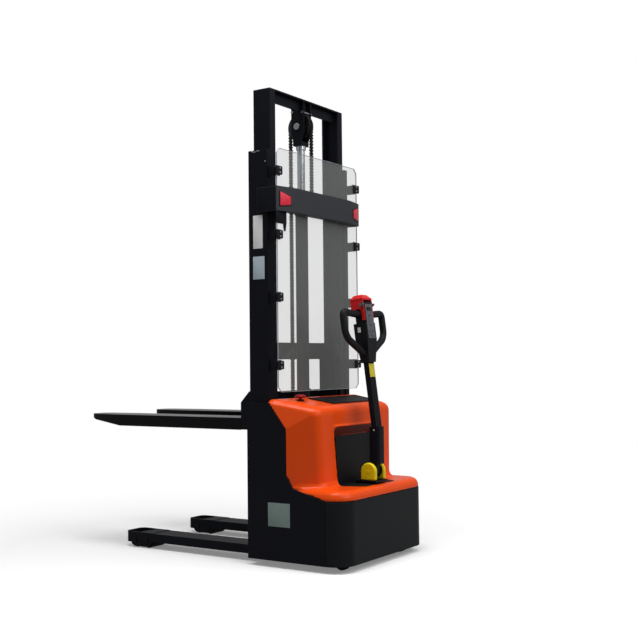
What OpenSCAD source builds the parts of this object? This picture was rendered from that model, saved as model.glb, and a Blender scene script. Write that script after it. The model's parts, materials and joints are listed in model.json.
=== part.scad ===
// Electric walkie stacker with a two-stage mast, drawn with the mast part-raised.
// X runs across the truck, Y forward along the forks and Z up from the floor.

/* [Chassis] */
// Width across the side plates
chassis_w = 800; // [790:1:830]
// Length from the side plates' front edge to the rear skirt
chassis_len = 552; // [546:1:580]
// Height of the skirt's lower edge above the floor
skirt_clear = 32; // [26:1:36]
// Height of the seam between skirt and cover at the rear
seam_rear = 330; // [322:1:336]
// Thickness of the chassis plates
plate_t = 8; // [6:0.5:10]
// Cut across each rear corner
corner_cut = 100; // [85:1:115]
// Height of the bridge plate that carries the drive unit
bridge_z = 232; // [228:1:240]
// Thickness of the bridge plate
bridge_t = 12; // [8:1:16]

/* [Cover] */
// Height of the cover's front edge beside the mast
cover_top = 800; // [780:1:820]
// Fall of the cover's top towards the rear
top_fall = 30; // [24:1:36]
// Step from the cover's top down to the side plates
side_step = 18; // [14:1:22]
// Radius round the cover's top edge at the rear
top_round = 45; // [40:1:50]
// Height of the ledge round the tiller
ledge_top = 378; // [372:1:384]
// Wall of the moulded cover
cover_wall = 4; // [3:0.5:5]
// Width across the cover's rear corners at the ledge
cover_rear_w = 680; // [660:2:700]
// Widening of the cover's rear from the ledge to the top, on each side
cover_flare = 22; // [14:1:26]
// Gap along the seam between cover and side plates
seam_gap = 1.5; // [1:0.25:3]

/* [Mast] */
// Height of the outer rails
mast_h = 2023; // [1990:1:2060]
// Gap between the outer rails and the side plates
mast_gap = 22; // [20:0.5:26]
// Depth of the outer rails
outer_depth = 115; // [112:1:120]
// Width of the outer rails' flanges
outer_flange = 33; // [32:0.5:36]
// Thickness of the rails' flanges
flange_t = 10; // [9:0.5:11]
// Thickness of the rails' webs
web_t = 8; // [6:0.5:9]
// Depth of the inner rails
inner_depth = 102; // [100:1:104]
// Width of the inner rails' flanges
inner_flange = 46; // [44:0.5:48]
// Height of the inner rails' foot above the floor, with the mast lowered
inner_foot = 90; // [86:1:110]
// Gap between the outer and inner rails
rail_gap = 3.5; // [3:0.25:4.5]
// Height of the inner mast above its lowered place
lift_rest = 305; // [300:1:320]

/* [Forks and legs] */
// Length of the forks ahead of the carriage
fork_len = 1070; // [1000:5:1150]
// Width of one fork
fork_w = 170; // [168:1:180]
// Thickness of a fork
fork_t = 60; // [56:1:64]
// Width across both forks
fork_spread = 683; // [680:1:690]
// Height of the forks' top with the forks lowered
fork_low = 94.5; // [94:0.5:100]
// Thickness of the forks' skin
fork_skin = 8; // [6:0.5:8]
// Width of one support leg
leg_w = 136; // [130:1:138]
// Height of a support leg's top
leg_top = 80; // [76:1:81]
// Height of a support leg's underside
leg_bottom = 36; // [34:1:40]
// Reach of the support legs ahead of the side plates' front edge
leg_reach = 887; // [870:1:900]
// Diameter of the load rollers
load_roller_d = 74; // [70:1:75]
// Spacing of the tandem load rollers
load_roller_gap = 80; // [78:1:84]

/* [Lift] */
// Outside diameter of the cylinder tube
tube_d = 65; // [62:1:66]
// Bore of the cylinder
tube_bore = 50; // [48:1:52]
// Diameter of the piston rod
rod_d = 40; // [36:1:42]
// Pitch radius of the chain wheel
wheel_r = 65; // [62:0.5:66]
// Width of the lift chain
chain_w = 20; // [16:1:22]
// Thickness of the lift chain
chain_t = 14; // [12:0.5:15]
// Pitch of the lift chain
chain_pitch = 16; // [15:0.5:20]

/* [Drive and tiller] */
// Distance of the steering axis from the rear skirt
steer_setback = 127; // [125:1:135]
// Diameter of the drive wheel
drive_wheel_d = 210; // [200:1:214]
// Width of the drive wheel's tread
drive_wheel_w = 70; // [60:1:74]
// Diameter of the drive motor
motor_d = 110; // [100:1:120]
// Diameter of the castor wheels
castor_d = 75; // [70:1:80]
// Height of the tiller pivot
pivot_z = 440; // [436:1:444]
// Forward lean of the tiller shaft
tiller_lean = 7.5; // [4:0.5:8]
// Width of the tiller shaft
tiller_w = 54; // [50:1:56]
// Thickness of the tiller shaft
tiller_t = 28; // [26:1:34]
// Half width across the handle loops
handle_half = 202; // [190:1:210]
// Diameter of the handle's grip bar
grip_d = 35; // [32:1:36]

/* [Hidden] */
$fn = 48;

// Running fits and clearances
run_fit = 0.1;
side_play = 0.5;
seat_gap = 0.3;
cut = 1;
slice = 0.01;

// Fore and aft places, from the side plates' front edge
carriage_face = 83;
total_len = chassis_len + carriage_face + fork_len;
y_front = total_len / 2 - carriage_face - fork_len;
outer_front = 3;
outer_back = outer_front - outer_depth;
mast_mid = (outer_front + outer_back) / 2;
inner_back = mast_mid - inner_depth / 2;
lift_y = mast_mid - 6;
bulk_t = 8;
bulk_back = outer_back - bulk_t;
steer_y = -chassis_len + steer_setback;
side_rear = -(chassis_len - corner_cut);

// Places across the truck
half_w = chassis_w / 2;
outer_out = half_w - plate_t - mast_gap;
outer_in = outer_out - outer_flange;
inner_out = outer_in - rail_gap;
inner_in = inner_out - inner_flange;
fork_x = (fork_spread - fork_w) / 2;

// Heights
side_top = cover_top - side_step;
cover_rear_top = cover_top - top_fall;
inner_rise = 7;
inner_len = mast_h + inner_rise - inner_foot;
inner_top = mast_h + inner_rise + lift_rest;
inner_bottom = inner_top - inner_len;
fork_top = fork_low + 2 * lift_rest;
fork_under = fork_top - fork_t;
wheel_z = inner_top - 135;
head_base = wheel_z - 100;
beam_z = mast_h - 298;
beam_h = 55;
shield_low = cover_top + 34;
shield_t = 5;
shield_y = outer_back - 54;
trim_low = beam_z - 13;
trim_h = 122;
trim_half = outer_out + 14;
trim_t = 3;

// The cover's seam, as points of fore-and-aft place and height
waist_y = 228;
crest_y = 150;
shoulder_z = cover_top - 141;
waist_z = ledge_top + 60;
ledge_start = 270;

paint = "#16171c";
charcoal = "#1e2022";
orange = "#e8541a";
steel = "#9a9da1";
dark_steel = "#4a4c50";
rubber = "#1b1b1d";
yellow = "#d8b818";
red = "#c81e1e";

// Everything is drawn from the side plates' front edge and then put in place
module placed() translate([0, y_front, 0]) children();
module both_sides() { children(); mirror([1, 0, 0]) children(); }
module across(len) rotate([0, 90, 0]) translate([0, 0, -len / 2]) children();
module pin_across(d, len) across(len) cylinder(d = d, h = len);
module along_x(t) rotate([90, 0, 90]) linear_extrude(t) children();
module block(x0, x1, y0, y1, z0, z1) translate([x0, y0, z0]) cube([x1 - x0, y1 - y0, z1 - z0]);

// A round tube swept along a path in the YZ plane, with its corners rounded off
function unit(v) = v / norm(v);
function round_square(half, r, n = 6) = [for (c = [0 : 3], k = [0 : n]) let (a = 90 * (c + k / n), m = half - r)
  [(c % 3 == 0 ? m : -m) + r * cos(a), (c < 2 ? m : -m) + r * sin(a)]];
function rounded(p, r, n = 6) = concat([p[0]],
  [for (i = [1 : len(p) - 2], k = [0 : n]) let (t = k / n, a = p[i] - r * unit(p[i] - p[i - 1]),
    b = p[i] + r * unit(p[i + 1] - p[i])) (1 - t) * (1 - t) * a + 2 * t * (1 - t) * p[i] + t * t * b],
  [p[len(p) - 1]]);
function heading(p, i) = let (d = p[min(i + 1, len(p) - 1)] - p[max(i - 1, 0)]) atan2(d[1], d[0]);
module planar_tube(p, d, sides) {
  n = len(p);
  points = [for (i = [0 : n - 1], k = [0 : sides - 1]) let (a = 360 * k / sides, t = heading(p, i) + 90)
    [d / 2 * cos(a), p[i][0] + d / 2 * sin(a) * cos(t), p[i][1] + d / 2 * sin(a) * sin(t)]];
  walls = [for (i = [0 : n - 2], k = [0 : sides - 1]) let (m = (k + 1) % sides)
    [i * sides + k, i * sides + m, (i + 1) * sides + m, (i + 1) * sides + k]];
  ends = [[for (k = [sides - 1 : -1 : 0]) k], [for (k = [0 : sides - 1]) (n - 1) * sides + k]];
  polyhedron(points, concat(walls, ends));
}

// Chassis plates
function seam(g) = [
  [-128 - g, side_top + g], [-waist_y - g, shoulder_z], [-waist_y - g, waist_z],
  [-ledge_start - g / 2, ledge_top + 2 + g], [side_rear, seam_rear + g]
];
module side_profile(g, front, low)
  polygon(concat([[front, low], [front, side_top + g]], seam(g), [[side_rear, low]]));
module side_plate() translate([half_w - plate_t, 0, 0]) along_x(plate_t) side_profile(0, 0, skirt_clear);
module side_plate_left() color(paint) placed() mirror([1, 0, 0]) side_plate();
module side_plate_right() color(paint) placed() side_plate();

bevel = sqrt(2) - 1;
function skirt_inside() = [
  [half_w - corner_cut - bevel * plate_t, -chassis_len + plate_t],
  [half_w - sqrt(2) * plate_t, side_rear]
];
function mirrored(points) = [for (i = [len(points) - 1 : -1 : 0]) [-points[i][0], points[i][1]]];
module rear_skirt() color(charcoal) placed() translate([0, 0, skirt_clear]) {
  straight = half_w - corner_cut;
  height = seam_rear - skirt_clear;
  block(-straight, straight, -chassis_len, plate_t - chassis_len, 0, height);
  both_sides() translate([straight, side_rear, 0]) rotate([0, 0, -90]) rotate_extrude(angle = 90, $fn = 96)
    translate([corner_cut - plate_t, 0]) square([plate_t, height]);
}

hose_y = bulk_back - 35;
hose_z = 98;
hose_d = 16;
shelf_z = 480;
shelf_t = 8;
shelf_back = steer_y + 85;
shelf_half = half_w - 80;
module bulkhead() color(paint) placed() {
  inner_half = half_w - plate_t;
  difference() {
    union() {
      block(-inner_half, inner_half, bulk_back, outer_back, skirt_clear + 15, side_top);
      block(-shelf_half, shelf_half, shelf_back, bulk_back, shelf_z, shelf_z + shelf_t);
    }
    translate([0, bulk_back - cut, hose_z]) rotate([-90, 0, 0]) cylinder(d = hose_d + 16, h = bulk_t + 2 * cut);
    translate([0, hose_y, shelf_z - cut]) cylinder(d = hose_d + 12, h = shelf_t + 2 * cut);
  }
}

castor_x = half_w - 125;
castor_y = steer_y - 15;
post_low = 112;
stem_d = 20;
ring_low = bridge_z - 25;
ring_in_r = 90;
module drive_bridge() color(paint) placed() difference() {
  right = concat(skirt_inside(), [[half_w - plate_t, side_rear + bevel * plate_t], [half_w - plate_t, bulk_back]]);
  union() {
    translate([0, 0, bridge_z]) linear_extrude(bridge_t) polygon(concat(mirrored(right), right));
    translate([0, steer_y, ring_low]) cylinder(r = ring_in_r + 25, h = bridge_z - ring_low, $fn = 96);
    both_sides() translate([castor_x, castor_y, post_low]) cylinder(d = 56, h = bridge_z - post_low);
  }
  translate([0, steer_y, ring_low - cut]) cylinder(r = ring_in_r + run_fit, h = bridge_z - ring_low + cut, $fn = 96);
  translate([0, steer_y, bridge_z - cut]) cylinder(d = motor_d + 8, h = bridge_t + 2 * cut);
  translate([0, hose_y, bridge_z - cut]) cylinder(d = hose_d + 12, h = bridge_t + 2 * cut);
  both_sides() translate([castor_x, castor_y, post_low - cut])
    cylinder(d = stem_d + 2 * run_fit, h = bridge_z - post_low);
}

// Mast foot and support legs
module mast_foot() color(paint) placed()
  block(-outer_in, outer_in, outer_back, outer_front, leg_bottom, leg_top);

leg_wall = 10;
loop_low = 26;
loop_top = leg_top + 2;
load_r = load_roller_d / 2;
load_front = leg_reach - 72;
load_rear = load_front - load_roller_gap;
leg_end = load_rear - load_r - 3;
axle_d = 20;
loop_corner = 34;
module loop_outline(i) {
  half = leg_w / 2 - i;
  r = loop_corner - i;
  front = leg_reach - i;
  translate([-half, leg_end]) square([2 * half, front - r - leg_end]);
  translate([r - half, leg_end]) square([2 * (half - r), front - leg_end]);
  both_sides() translate([half - r, front - r]) circle(r = r);
}
module roller_cheek() along_x(leg_wall) {
  for (y = [load_front, load_rear]) translate([y, load_r]) circle(r = load_r - 7);
  translate([load_rear, 7]) square([load_roller_gap, loop_low]);
}
module leg() difference() {
  half = leg_w / 2;
  union() {
    block(-half, half, outer_front, leg_end, leg_bottom, leg_top);
    translate([0, 0, loop_low]) linear_extrude(loop_top - loop_low) difference() {
      loop_outline(0);
      loop_outline(leg_wall);
    }
    block(-half, half, leg_end - 5, load_rear + load_r, loop_top - 6, loop_top);
    both_sides() translate([half - leg_wall, 0, 0]) roller_cheek();
  }
  block(leg_wall - half, half - leg_wall, outer_front + leg_wall, leg_end + cut, leg_bottom - cut, leg_top - leg_wall);
  for (y = [load_front, load_rear]) translate([0, y, load_r]) pin_across(axle_d, leg_w + 2 * cut);
}
module leg_left() color(paint) placed() translate([-fork_x, 0, 0]) leg();
module leg_right() color(paint) placed() translate([fork_x, 0, 0]) leg();
module load_axles() color(steel) placed() for (s = [-1, 1], y = [load_front, load_rear])
  translate([s * fork_x, y, load_r]) {
    pin_across(axle_d, leg_w);
    both_sides() translate([leg_w / 2 + 2.5, 0, 0]) pin_across(axle_d + 8, 5);
  }
module load_roller() color(rubber) difference() {
  union() {
    pin_across(load_roller_d, leg_w - 2 * leg_wall - 14);
    pin_across(axle_d + 14, leg_w - 2 * leg_wall - 2);
  }
  pin_across(axle_d + 2 * run_fit, leg_w);
}
module load_roller_left_front() placed() translate([-fork_x, load_front, load_r]) load_roller();
module load_roller_left_rear() placed() translate([-fork_x, load_rear, load_r]) load_roller();
module load_roller_right_front() placed() translate([fork_x, load_front, load_r]) load_roller();
module load_roller_right_rear() placed() translate([fork_x, load_rear, load_r]) load_roller();

// Mast rails are channels that open inward
module channel(x_out, width, y_back, depth) difference() {
  translate([x_out - width, y_back]) square([width, depth]);
  translate([x_out - width - cut, y_back + flange_t]) square([width - web_t + cut, depth - 2 * flange_t]);
}
module outer_rail() translate([0, 0, leg_bottom]) linear_extrude(mast_h - leg_bottom)
  channel(outer_out, outer_flange, outer_back, outer_depth);
module outer_rail_left() color(paint) placed() mirror([1, 0, 0]) outer_rail();
module outer_rail_right() color(paint) placed() outer_rail();
module inner_rail() translate([0, 0, inner_bottom]) difference() {
  linear_extrude(inner_len) channel(inner_out, inner_flange, inner_back, inner_depth);
  translate([inner_out - web_t / 2, mast_mid, mast_roller_up]) pin_across(stub_d, web_t + 2 * cut);
}
module inner_rail_left() color(paint) placed() mirror([1, 0, 0]) inner_rail();
module inner_rail_right() color(paint) placed() inner_rail();

pad_h = 80;
module guide_pads() color("#d8d6cc") placed() both_sides()
  block(inner_out + seat_gap, outer_in, outer_back, outer_front, mast_h - pad_h - 13, mast_h - 13);

anchor_w = 32;
chain_rear_y = lift_y - wheel_r;
chain_front_y = lift_y + wheel_r;
anchor_top = beam_z + beam_h + 20;
beam_depth = 38;
module mast_crossbeam() color(paint) placed() {
  reach = trim_half - trim_t;
  difference() {
    block(-reach, reach, outer_back - beam_depth, outer_back, beam_z, beam_z + beam_h);
    block(-reach - cut, reach + cut, outer_back - beam_depth + 6, outer_back - 6, beam_z + 6, beam_z + beam_h - 6);
  }
  block(-anchor_w / 2, anchor_w / 2, chain_rear_y - chain_t / 2 - 3, chain_rear_y + chain_t / 2 - 1,
        beam_z + beam_h, anchor_top);
}

// Pressed cover over the crossbeam, with its ends swept forward
sweep_x = 133;
sweep_y = 28;
trim_side_y = shield_y - shield_t - 5;
trim_end = outer_front - 60;
function trim_outline(i) = [
  [trim_half - sweep_x - i * 0.1, trim_side_y - sweep_y + i], [trim_half - i, trim_side_y + i * 0.8],
  [trim_half - i, trim_end]
];
module crossbeam_cover() color(charcoal) placed() translate([0, 0, trim_low]) {
  linear_extrude(trim_h) difference() {
    polygon(concat(mirrored(trim_outline(0)), trim_outline(0)));
    polygon(concat([[-trim_half + trim_t, outer_front]], mirrored(trim_outline(trim_t)),
                   trim_outline(trim_t), [[trim_half - trim_t, outer_front]]));
  }
}

// Clear guard behind the mast on bent side posts
shield_cut = 24;
module shield() color("#cfd6da", 0.35) placed() translate([0, shield_y, 0]) rotate([90, 0, 0])
  linear_extrude(shield_t) polygon([
    [-outer_out + shield_cut, shield_low], [outer_out - shield_cut, shield_low],
    [outer_out, shield_low + shield_cut], [outer_out, mast_h - shield_cut],
    [outer_out - shield_cut, mast_h], [-outer_out + shield_cut, mast_h],
    [-outer_out, mast_h - shield_cut], [-outer_out, shield_low + shield_cut]
  ]);
post_t = 3;
module shield_posts() color(paint) placed() both_sides() difference() {
  translate([0, 0, shield_low + shield_cut]) linear_extrude(mast_h - shield_low - 2 * shield_cut) {
    translate([outer_in, outer_back - post_t]) square([outer_flange - 6, post_t]);
    translate([outer_out - 6 - post_t, shield_y]) square([post_t, outer_back - shield_y]);
    translate([outer_in, shield_y]) square([outer_flange - 6, post_t]);
  }
  block(outer_in - cut, outer_out, outer_back - beam_depth - cut, outer_back + cut, beam_z, beam_z + beam_h);
}

// Lift cylinder and rod
tube_low = leg_top;
tube_floor = tube_low + 50;
gland_top = wheel_z - lift_rest - 130;
gland_h = 25;
module lift_cylinder() color(dark_steel) placed() translate([0, lift_y, 0]) difference() {
  union() {
    translate([0, 0, tube_low]) cylinder(d = tube_d, h = gland_top - tube_low);
    translate([0, 0, tube_low]) cylinder(d = tube_d + 4, h = tube_floor - tube_low);
    translate([0, 0, gland_top - gland_h]) cylinder(d = tube_d + 7, h = gland_h);
  }
  translate([0, 0, tube_floor]) cylinder(d = tube_bore, h = gland_top - gland_h - tube_floor);
  translate([0, 0, tube_floor]) cylinder(d = rod_d + 2 * run_fit, h = gland_top);
}
piston_h = 40;
rod_low = tube_floor + lift_rest + 10;
module lift_rod() color("#c9ccd0") placed() translate([0, lift_y, 0]) {
  translate([0, 0, rod_low]) cylinder(d = rod_d, h = head_base - rod_low);
  translate([0, 0, rod_low]) cylinder(d = tube_bore - 2 * run_fit, h = piston_h);
  translate([0, 0, head_base - 20]) cylinder(d = rod_d + 12, h = 20);
}

// Inner mast crossbeams, with the chain wheel's bracket on the upper one
chain_clear = 3;
head_h = inner_top - wheel_z - wheel_r - chain_t / 2 - chain_clear;
lip = 8;
bracket_in = 27;
bracket_out = 35;
bracket_back = inner_back + flange_t;
bracket_front = lift_y + 36;
wheel_pin_d = 25;
web_y = inner_back + 26;
rod_seat = 26;
seat_t = 22;
function bracket_side() = [
  [inner_back + 2, inner_top - lip], [inner_back + 2, wheel_z - 40], [lift_y - rod_seat, wheel_z - 68],
  [lift_y - rod_seat, head_base], [lift_y + rod_seat, head_base], [lift_y + rod_seat, wheel_z - 68],
  [bracket_front, wheel_z - 40], [bracket_front, inner_top - lip]
];
module inner_crossbeams() color(paint) placed() difference() {
  union() {
    block(-inner_in, inner_in, web_y, web_y + lip, inner_top - head_h, inner_top);
    block(-inner_in, inner_in, inner_back, web_y, inner_top - lip, inner_top);
    both_sides() translate([bracket_in, 0, 0]) along_x(bracket_out - bracket_in) polygon(bracket_side());
    block(-bracket_out, bracket_out, lift_y - rod_seat, lift_y + rod_seat, head_base, head_base + seat_t);
    block(-inner_in, inner_in, inner_back, inner_back + 9, inner_bottom + 20, inner_bottom + 120);
  }
  translate([0, lift_y, wheel_z]) pin_across(wheel_pin_d, 4 * bracket_out);
}
module chain_wheel_pin() color(steel) placed() translate([0, lift_y, wheel_z]) {
  pin_across(wheel_pin_d, 2 * bracket_out);
  both_sides() translate([bracket_out + 3, 0, 0]) pin_across(wheel_pin_d + 10, 6);
}
wheel_root = wheel_r - chain_t / 2 - seat_gap;
wheel_rim = wheel_r + 5;
rim_t = 4;
module chain_wheel() color(dark_steel) placed() translate([0, lift_y, wheel_z]) difference() {
  union() {
    pin_across(2 * wheel_root, chain_w + 2);
    both_sides() translate([chain_w / 2 + 1 + rim_t / 2, 0, 0]) pin_across(2 * wheel_rim, rim_t);
    pin_across(wheel_pin_d + 16, 2 * bracket_in - 1);
  }
  pin_across(wheel_pin_d + 2 * run_fit, 4 * bracket_out);
  for (a = [0 : 60 : 300]) rotate([a, 0, 0]) translate([0, wheel_root * 0.64, 0]) pin_across(16, 2 * bracket_out);
}

// Leaf chain: each pin swells the link plates, and the plates neck in between
chain_neck = chain_t / 2 - 1.6;
function chain_side(n, z0, s) = [for (i = [0 : n - 1], k = [0 : 2])
  [s * (k < 2 ? chain_t / 2 : chain_neck), z0 + (i + [0.22, 0.72, 0.97][k]) * chain_pitch]];
function reversed(v) = [for (i = [len(v) - 1 : -1 : 0]) v[i]];
module chain_strand(y, z0, z1) {
  n = floor((z1 - z0) / chain_pitch);
  first = z1 - n * chain_pitch;
  outline = concat([[-chain_neck, z0]], chain_side(n, first, -1), [[-chain_neck, z1], [chain_neck, z1]],
                   reversed(chain_side(n, first, 1)), [[chain_neck, z0]]);
  translate([-chain_w / 2, y, 0]) along_x(chain_w) polygon(outline);
}
module chain_rear() color(dark_steel) placed() chain_strand(chain_rear_y, anchor_top, wheel_z);
module chain_front() color(dark_steel) placed() chain_strand(chain_front_y, hitch_top, wheel_z);
module chain_wrap() color(dark_steel) placed() translate([-chain_w / 2, lift_y, wheel_z])
  rotate([90, 0, 90]) rotate_extrude(angle = 180, $fn = 96)
    translate([wheel_r - chain_t / 2, 0]) square([chain_t, chain_w]);

// Rollers between the mast stages, on stub axles in the inner rails
stub_d = 24;
mast_roller_up = 60;
mast_roller_r = outer_depth / 2 - flange_t - side_play;
mast_roller_w = 20;
module mast_rollers() color(steel) placed() both_sides()
  translate([0, mast_mid, inner_bottom + mast_roller_up]) {
    x0 = outer_in + 2;
    translate([x0 + mast_roller_w / 2, 0, 0]) pin_across(2 * mast_roller_r, mast_roller_w);
    x1 = inner_out - web_t;
    translate([(x0 + x1) / 2, 0, 0]) pin_across(stub_d - 2 * run_fit, x0 - x1);
  }

// Fork carriage
arm_t = 16;
arm_out = inner_in - 5.5;
arm_back = bracket_back + 5.5;
bar_y = chain_front_y + chain_t / 2 + 2.5;
bar_t = 10;
lower_roller_z = fork_top + 40;
upper_roller_z = lower_roller_z + 295;
carriage_low = fork_low + 2 * lift_rest - 6.5;
carriage_high = carriage_low + 138;
arm_top = upper_roller_z + 40;
cheek_t = 12;
hitch_top = carriage_low + 52;
carriage_stub_d = 25;
carriage_roller_r = inner_depth / 2 - flange_t - side_play;
carriage_roller_w = 30;
cheek_fall = 55;
cheek_cut = 52;
function cheek_outline() = [
  [bar_y, fork_under + 2], [carriage_face, fork_under + 2], [carriage_face, carriage_high - cheek_fall],
  [carriage_face - cheek_cut, carriage_high], [bar_y, carriage_high]
];
module carriage_frame() color(paint) placed() {
  fork_out = fork_spread / 2;
  both_sides() {
    block(arm_out - arm_t, arm_out, arm_back, bar_y, carriage_low + 2, arm_top);
    for (x = [fork_out - cheek_t, fork_out - fork_w])
      translate([x, 0, 0]) along_x(cheek_t) polygon(cheek_outline());
    for (z = [lower_roller_z, upper_roller_z]) {
      x1 = inner_out - web_t - 2;
      translate([(arm_out + x1) / 2, mast_mid, z]) pin_across(carriage_stub_d, x1 - arm_out);
    }
  }
  block(-fork_out + cheek_t, fork_out - cheek_t, bar_y, bar_y + bar_t, carriage_low, carriage_high - 6);
  block(-fork_out + cheek_t, fork_out - cheek_t, carriage_face - 12, carriage_face, carriage_low, carriage_high - 60);
  block(-arm_out, arm_out, bar_y, bar_y + bar_t, arm_top - 87, arm_top);
  block(-18, 18, chain_front_y - chain_t / 2 - 3, bar_y, carriage_low, hitch_top);
}
module carriage_roller_pair(z) color(steel) placed() both_sides() {
  x0 = inner_out - web_t - 4.5 - carriage_roller_w;
  translate([x0 + carriage_roller_w / 2, mast_mid, z]) difference() {
    pin_across(2 * carriage_roller_r, carriage_roller_w);
    pin_across(carriage_stub_d + 2 * run_fit, carriage_roller_w + 2 * cut);
  }
}
module carriage_rollers_lower() carriage_roller_pair(lower_roller_z);
module carriage_rollers_upper() carriage_roller_pair(upper_roller_z);

// Forks: folded channels, open below, with a tapered toe
toe_len = 240;
toe_t = 26;
toe_r = 45;
module fork_plan() {
  half = fork_w / 2;
  tip = carriage_face + fork_len;
  polygon([[-half, carriage_face], [half, carriage_face], [half, tip - toe_len], [half - 18, tip - toe_r],
           [half - toe_r, tip], [toe_r - half, tip], [18 - half, tip - toe_r], [-half, tip - toe_len]]);
}
module fork() difference() {
  tip = carriage_face + fork_len;
  in_half = fork_w / 2 - fork_skin;
  intersection() {
    translate([0, 0, fork_under]) linear_extrude(fork_t) fork_plan();
    translate([-fork_w, 0, 0]) along_x(2 * fork_w) polygon([
      [carriage_face, fork_under], [tip - toe_len, fork_under], [tip, fork_top - toe_t],
      [tip, fork_top], [carriage_face, fork_top]]);
  }
  translate([0, 0, fork_under - cut]) linear_extrude(fork_t - fork_skin + cut) polygon([
    [-in_half, carriage_face - cut], [in_half, carriage_face - cut], [in_half, tip - toe_len],
    [in_half - 14, tip - 2 * toe_r], [14 - in_half, tip - 2 * toe_r], [-in_half, tip - toe_len]]);
}
module fork_left() color(paint) placed() translate([-fork_x, 0, 0]) fork();
module fork_right() color(paint) placed() translate([fork_x, 0, 0]) fork();

// Drive unit on the steering axis
drive_r = drive_wheel_d / 2;
shaft_d = 40;
box_in = drive_wheel_w / 2 + 5;
motor_top = ledge_top - 6;
module drive_unit() color(dark_steel) placed() translate([0, steer_y, 0]) {
  translate([0, 0, ring_low + 8]) cylinder(r = ring_in_r, h = bridge_z - ring_low - 9, $fn = 96);
  translate([0, 0, bridge_z - 1]) cylinder(d = motor_d, h = motor_top - bridge_z + 1);
  block(box_in, box_in + 46, -50, 50, drive_r - 45, ring_low - 2);
  block(box_in, box_in + 38, -40, 40, ring_low - 2, ring_low + 8);
  translate([box_in - drive_wheel_w / 2 - 2.5, 0, drive_r]) pin_across(shaft_d, drive_wheel_w + 5);
}
module drive_wheel() color(rubber) placed() translate([0, steer_y, drive_r]) difference() {
  union() {
    pin_across(drive_wheel_d, drive_wheel_w - 10);
    pin_across(drive_wheel_d - 10, drive_wheel_w);
  }
  pin_across(shaft_d + 2 * run_fit, 2 * drive_wheel_w);
  translate([-drive_wheel_w / 2, 0, 0]) pin_across(drive_wheel_d * 0.62, 24);
}

// Castors beside the drive wheel, trailing to the rear
castor_r = castor_d / 2;
castor_w = 32;
trail = 25;
crown_low = 2 * castor_r + 6;
module castor_fork() color(steel) translate([0, castor_y, 0]) {
  translate([0, 0, post_low - 2]) cylinder(d = stem_d, h = 90);
  difference() {
    union() {
      translate([-30, -trail - 16, crown_low]) cube([60, trail + 38, post_low - 2 - crown_low]);
      both_sides() translate([castor_w / 2 + 3, 0, 0]) along_x(6)
        polygon([[-trail - 16, crown_low], [-trail - 14, castor_r - 12], [-trail + 14, castor_r - 12], [14, crown_low]]);
    }
    translate([0, -trail, castor_r]) pin_across(12, 80);
  }
  translate([0, -trail, castor_r]) pin_across(12, 64);
}
module castor_wheel() color(rubber) translate([0, castor_y - trail, castor_r]) difference() {
  pin_across(castor_d, castor_w);
  pin_across(12 + 2 * run_fit, 2 * castor_w);
}
module castor_fork_left() placed() translate([-castor_x, 0, 0]) castor_fork();
module castor_fork_right() placed() translate([castor_x, 0, 0]) castor_fork();
module castor_wheel_left() placed() translate([-castor_x, 0, 0]) castor_wheel();
module castor_wheel_right() placed() translate([castor_x, 0, 0]) castor_wheel();

// Moulded cover: a flared body over the power unit and a ledge round the tiller
body_rear = steer_y + 33;
body_lean = 10;
body_corner_r = 50;
body_low = seam_rear + 20;
front_edge = bulk_back - seat_gap;
// Levels of the rear corners: share of flare and lean, inward step and height
body_levels = concat([[0, 0, body_low], [0, 0, ledge_top], [1, 0, cover_rear_top - top_round]],
  [for (a = [22.5 : 22.5 : 90]) [1, top_round * (1 - cos(a)), cover_rear_top - top_round * (1 - sin(a))]]);
module rear_corners(i, level, grow = 0) both_sides()
  translate([cover_rear_w / 2 + level[0] * cover_flare - level[1] - body_corner_r,
             body_rear + level[0] * body_lean + level[1] + body_corner_r, level[2] - i * (level[1] > 0 ? 1 : 0)])
    cylinder(r = body_corner_r + grow - i, h = slice, $fn = 32);
module body_form(i) hull() {
  wide = half_w - i;
  crest_half = half_w - 30 - i;
  block(-wide, wide, i - crest_y + 22, front_edge, body_low, side_top - i);
  block(-wide, wide, -waist_y + i, front_edge, body_low, shoulder_z - i);
  block(-crest_half, crest_half, -crest_y + i, front_edge, body_low, cover_top - i);
  for (level = body_levels) rear_corners(i, level);
}
// Hollow curve where the body meets the ledge, in two straight steps
foot = [[24, 0], [9, 9], [0, 28]];
module foot_form(k) hull() for (n = [k, k + 1]) {
  rear_corners(0, [0, 0, ledge_top + foot[n][1]], foot[n][0]);
  block(-half_w, half_w, -waist_y, -waist_y + slice, ledge_top - 2, ledge_top + foot[n][1]);
}
arc_steps = [0 : 11.25 : 90];
function ledge_plan(i) = concat(
  [for (a = arc_steps) [half_w - corner_cut + (corner_cut - i) * sin(a), side_rear - (corner_cut - i) * cos(a)]],
  [[half_w - i, -waist_y]]);
ledge_steps = [[0, 0], [0.35, 1.5], [0.7, 9], [0.9, 20], [1, 36]];
module ledge_form(i) hull() for (step = ledge_steps)
  translate([0, 0, seam_rear + step[0] * (ledge_top - seam_rear) - (step[0] == 0 ? 0 : i)]) linear_extrude(slice)
    polygon(concat(mirrored(ledge_plan(step[1] + i)), ledge_plan(step[1] + i)));

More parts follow.
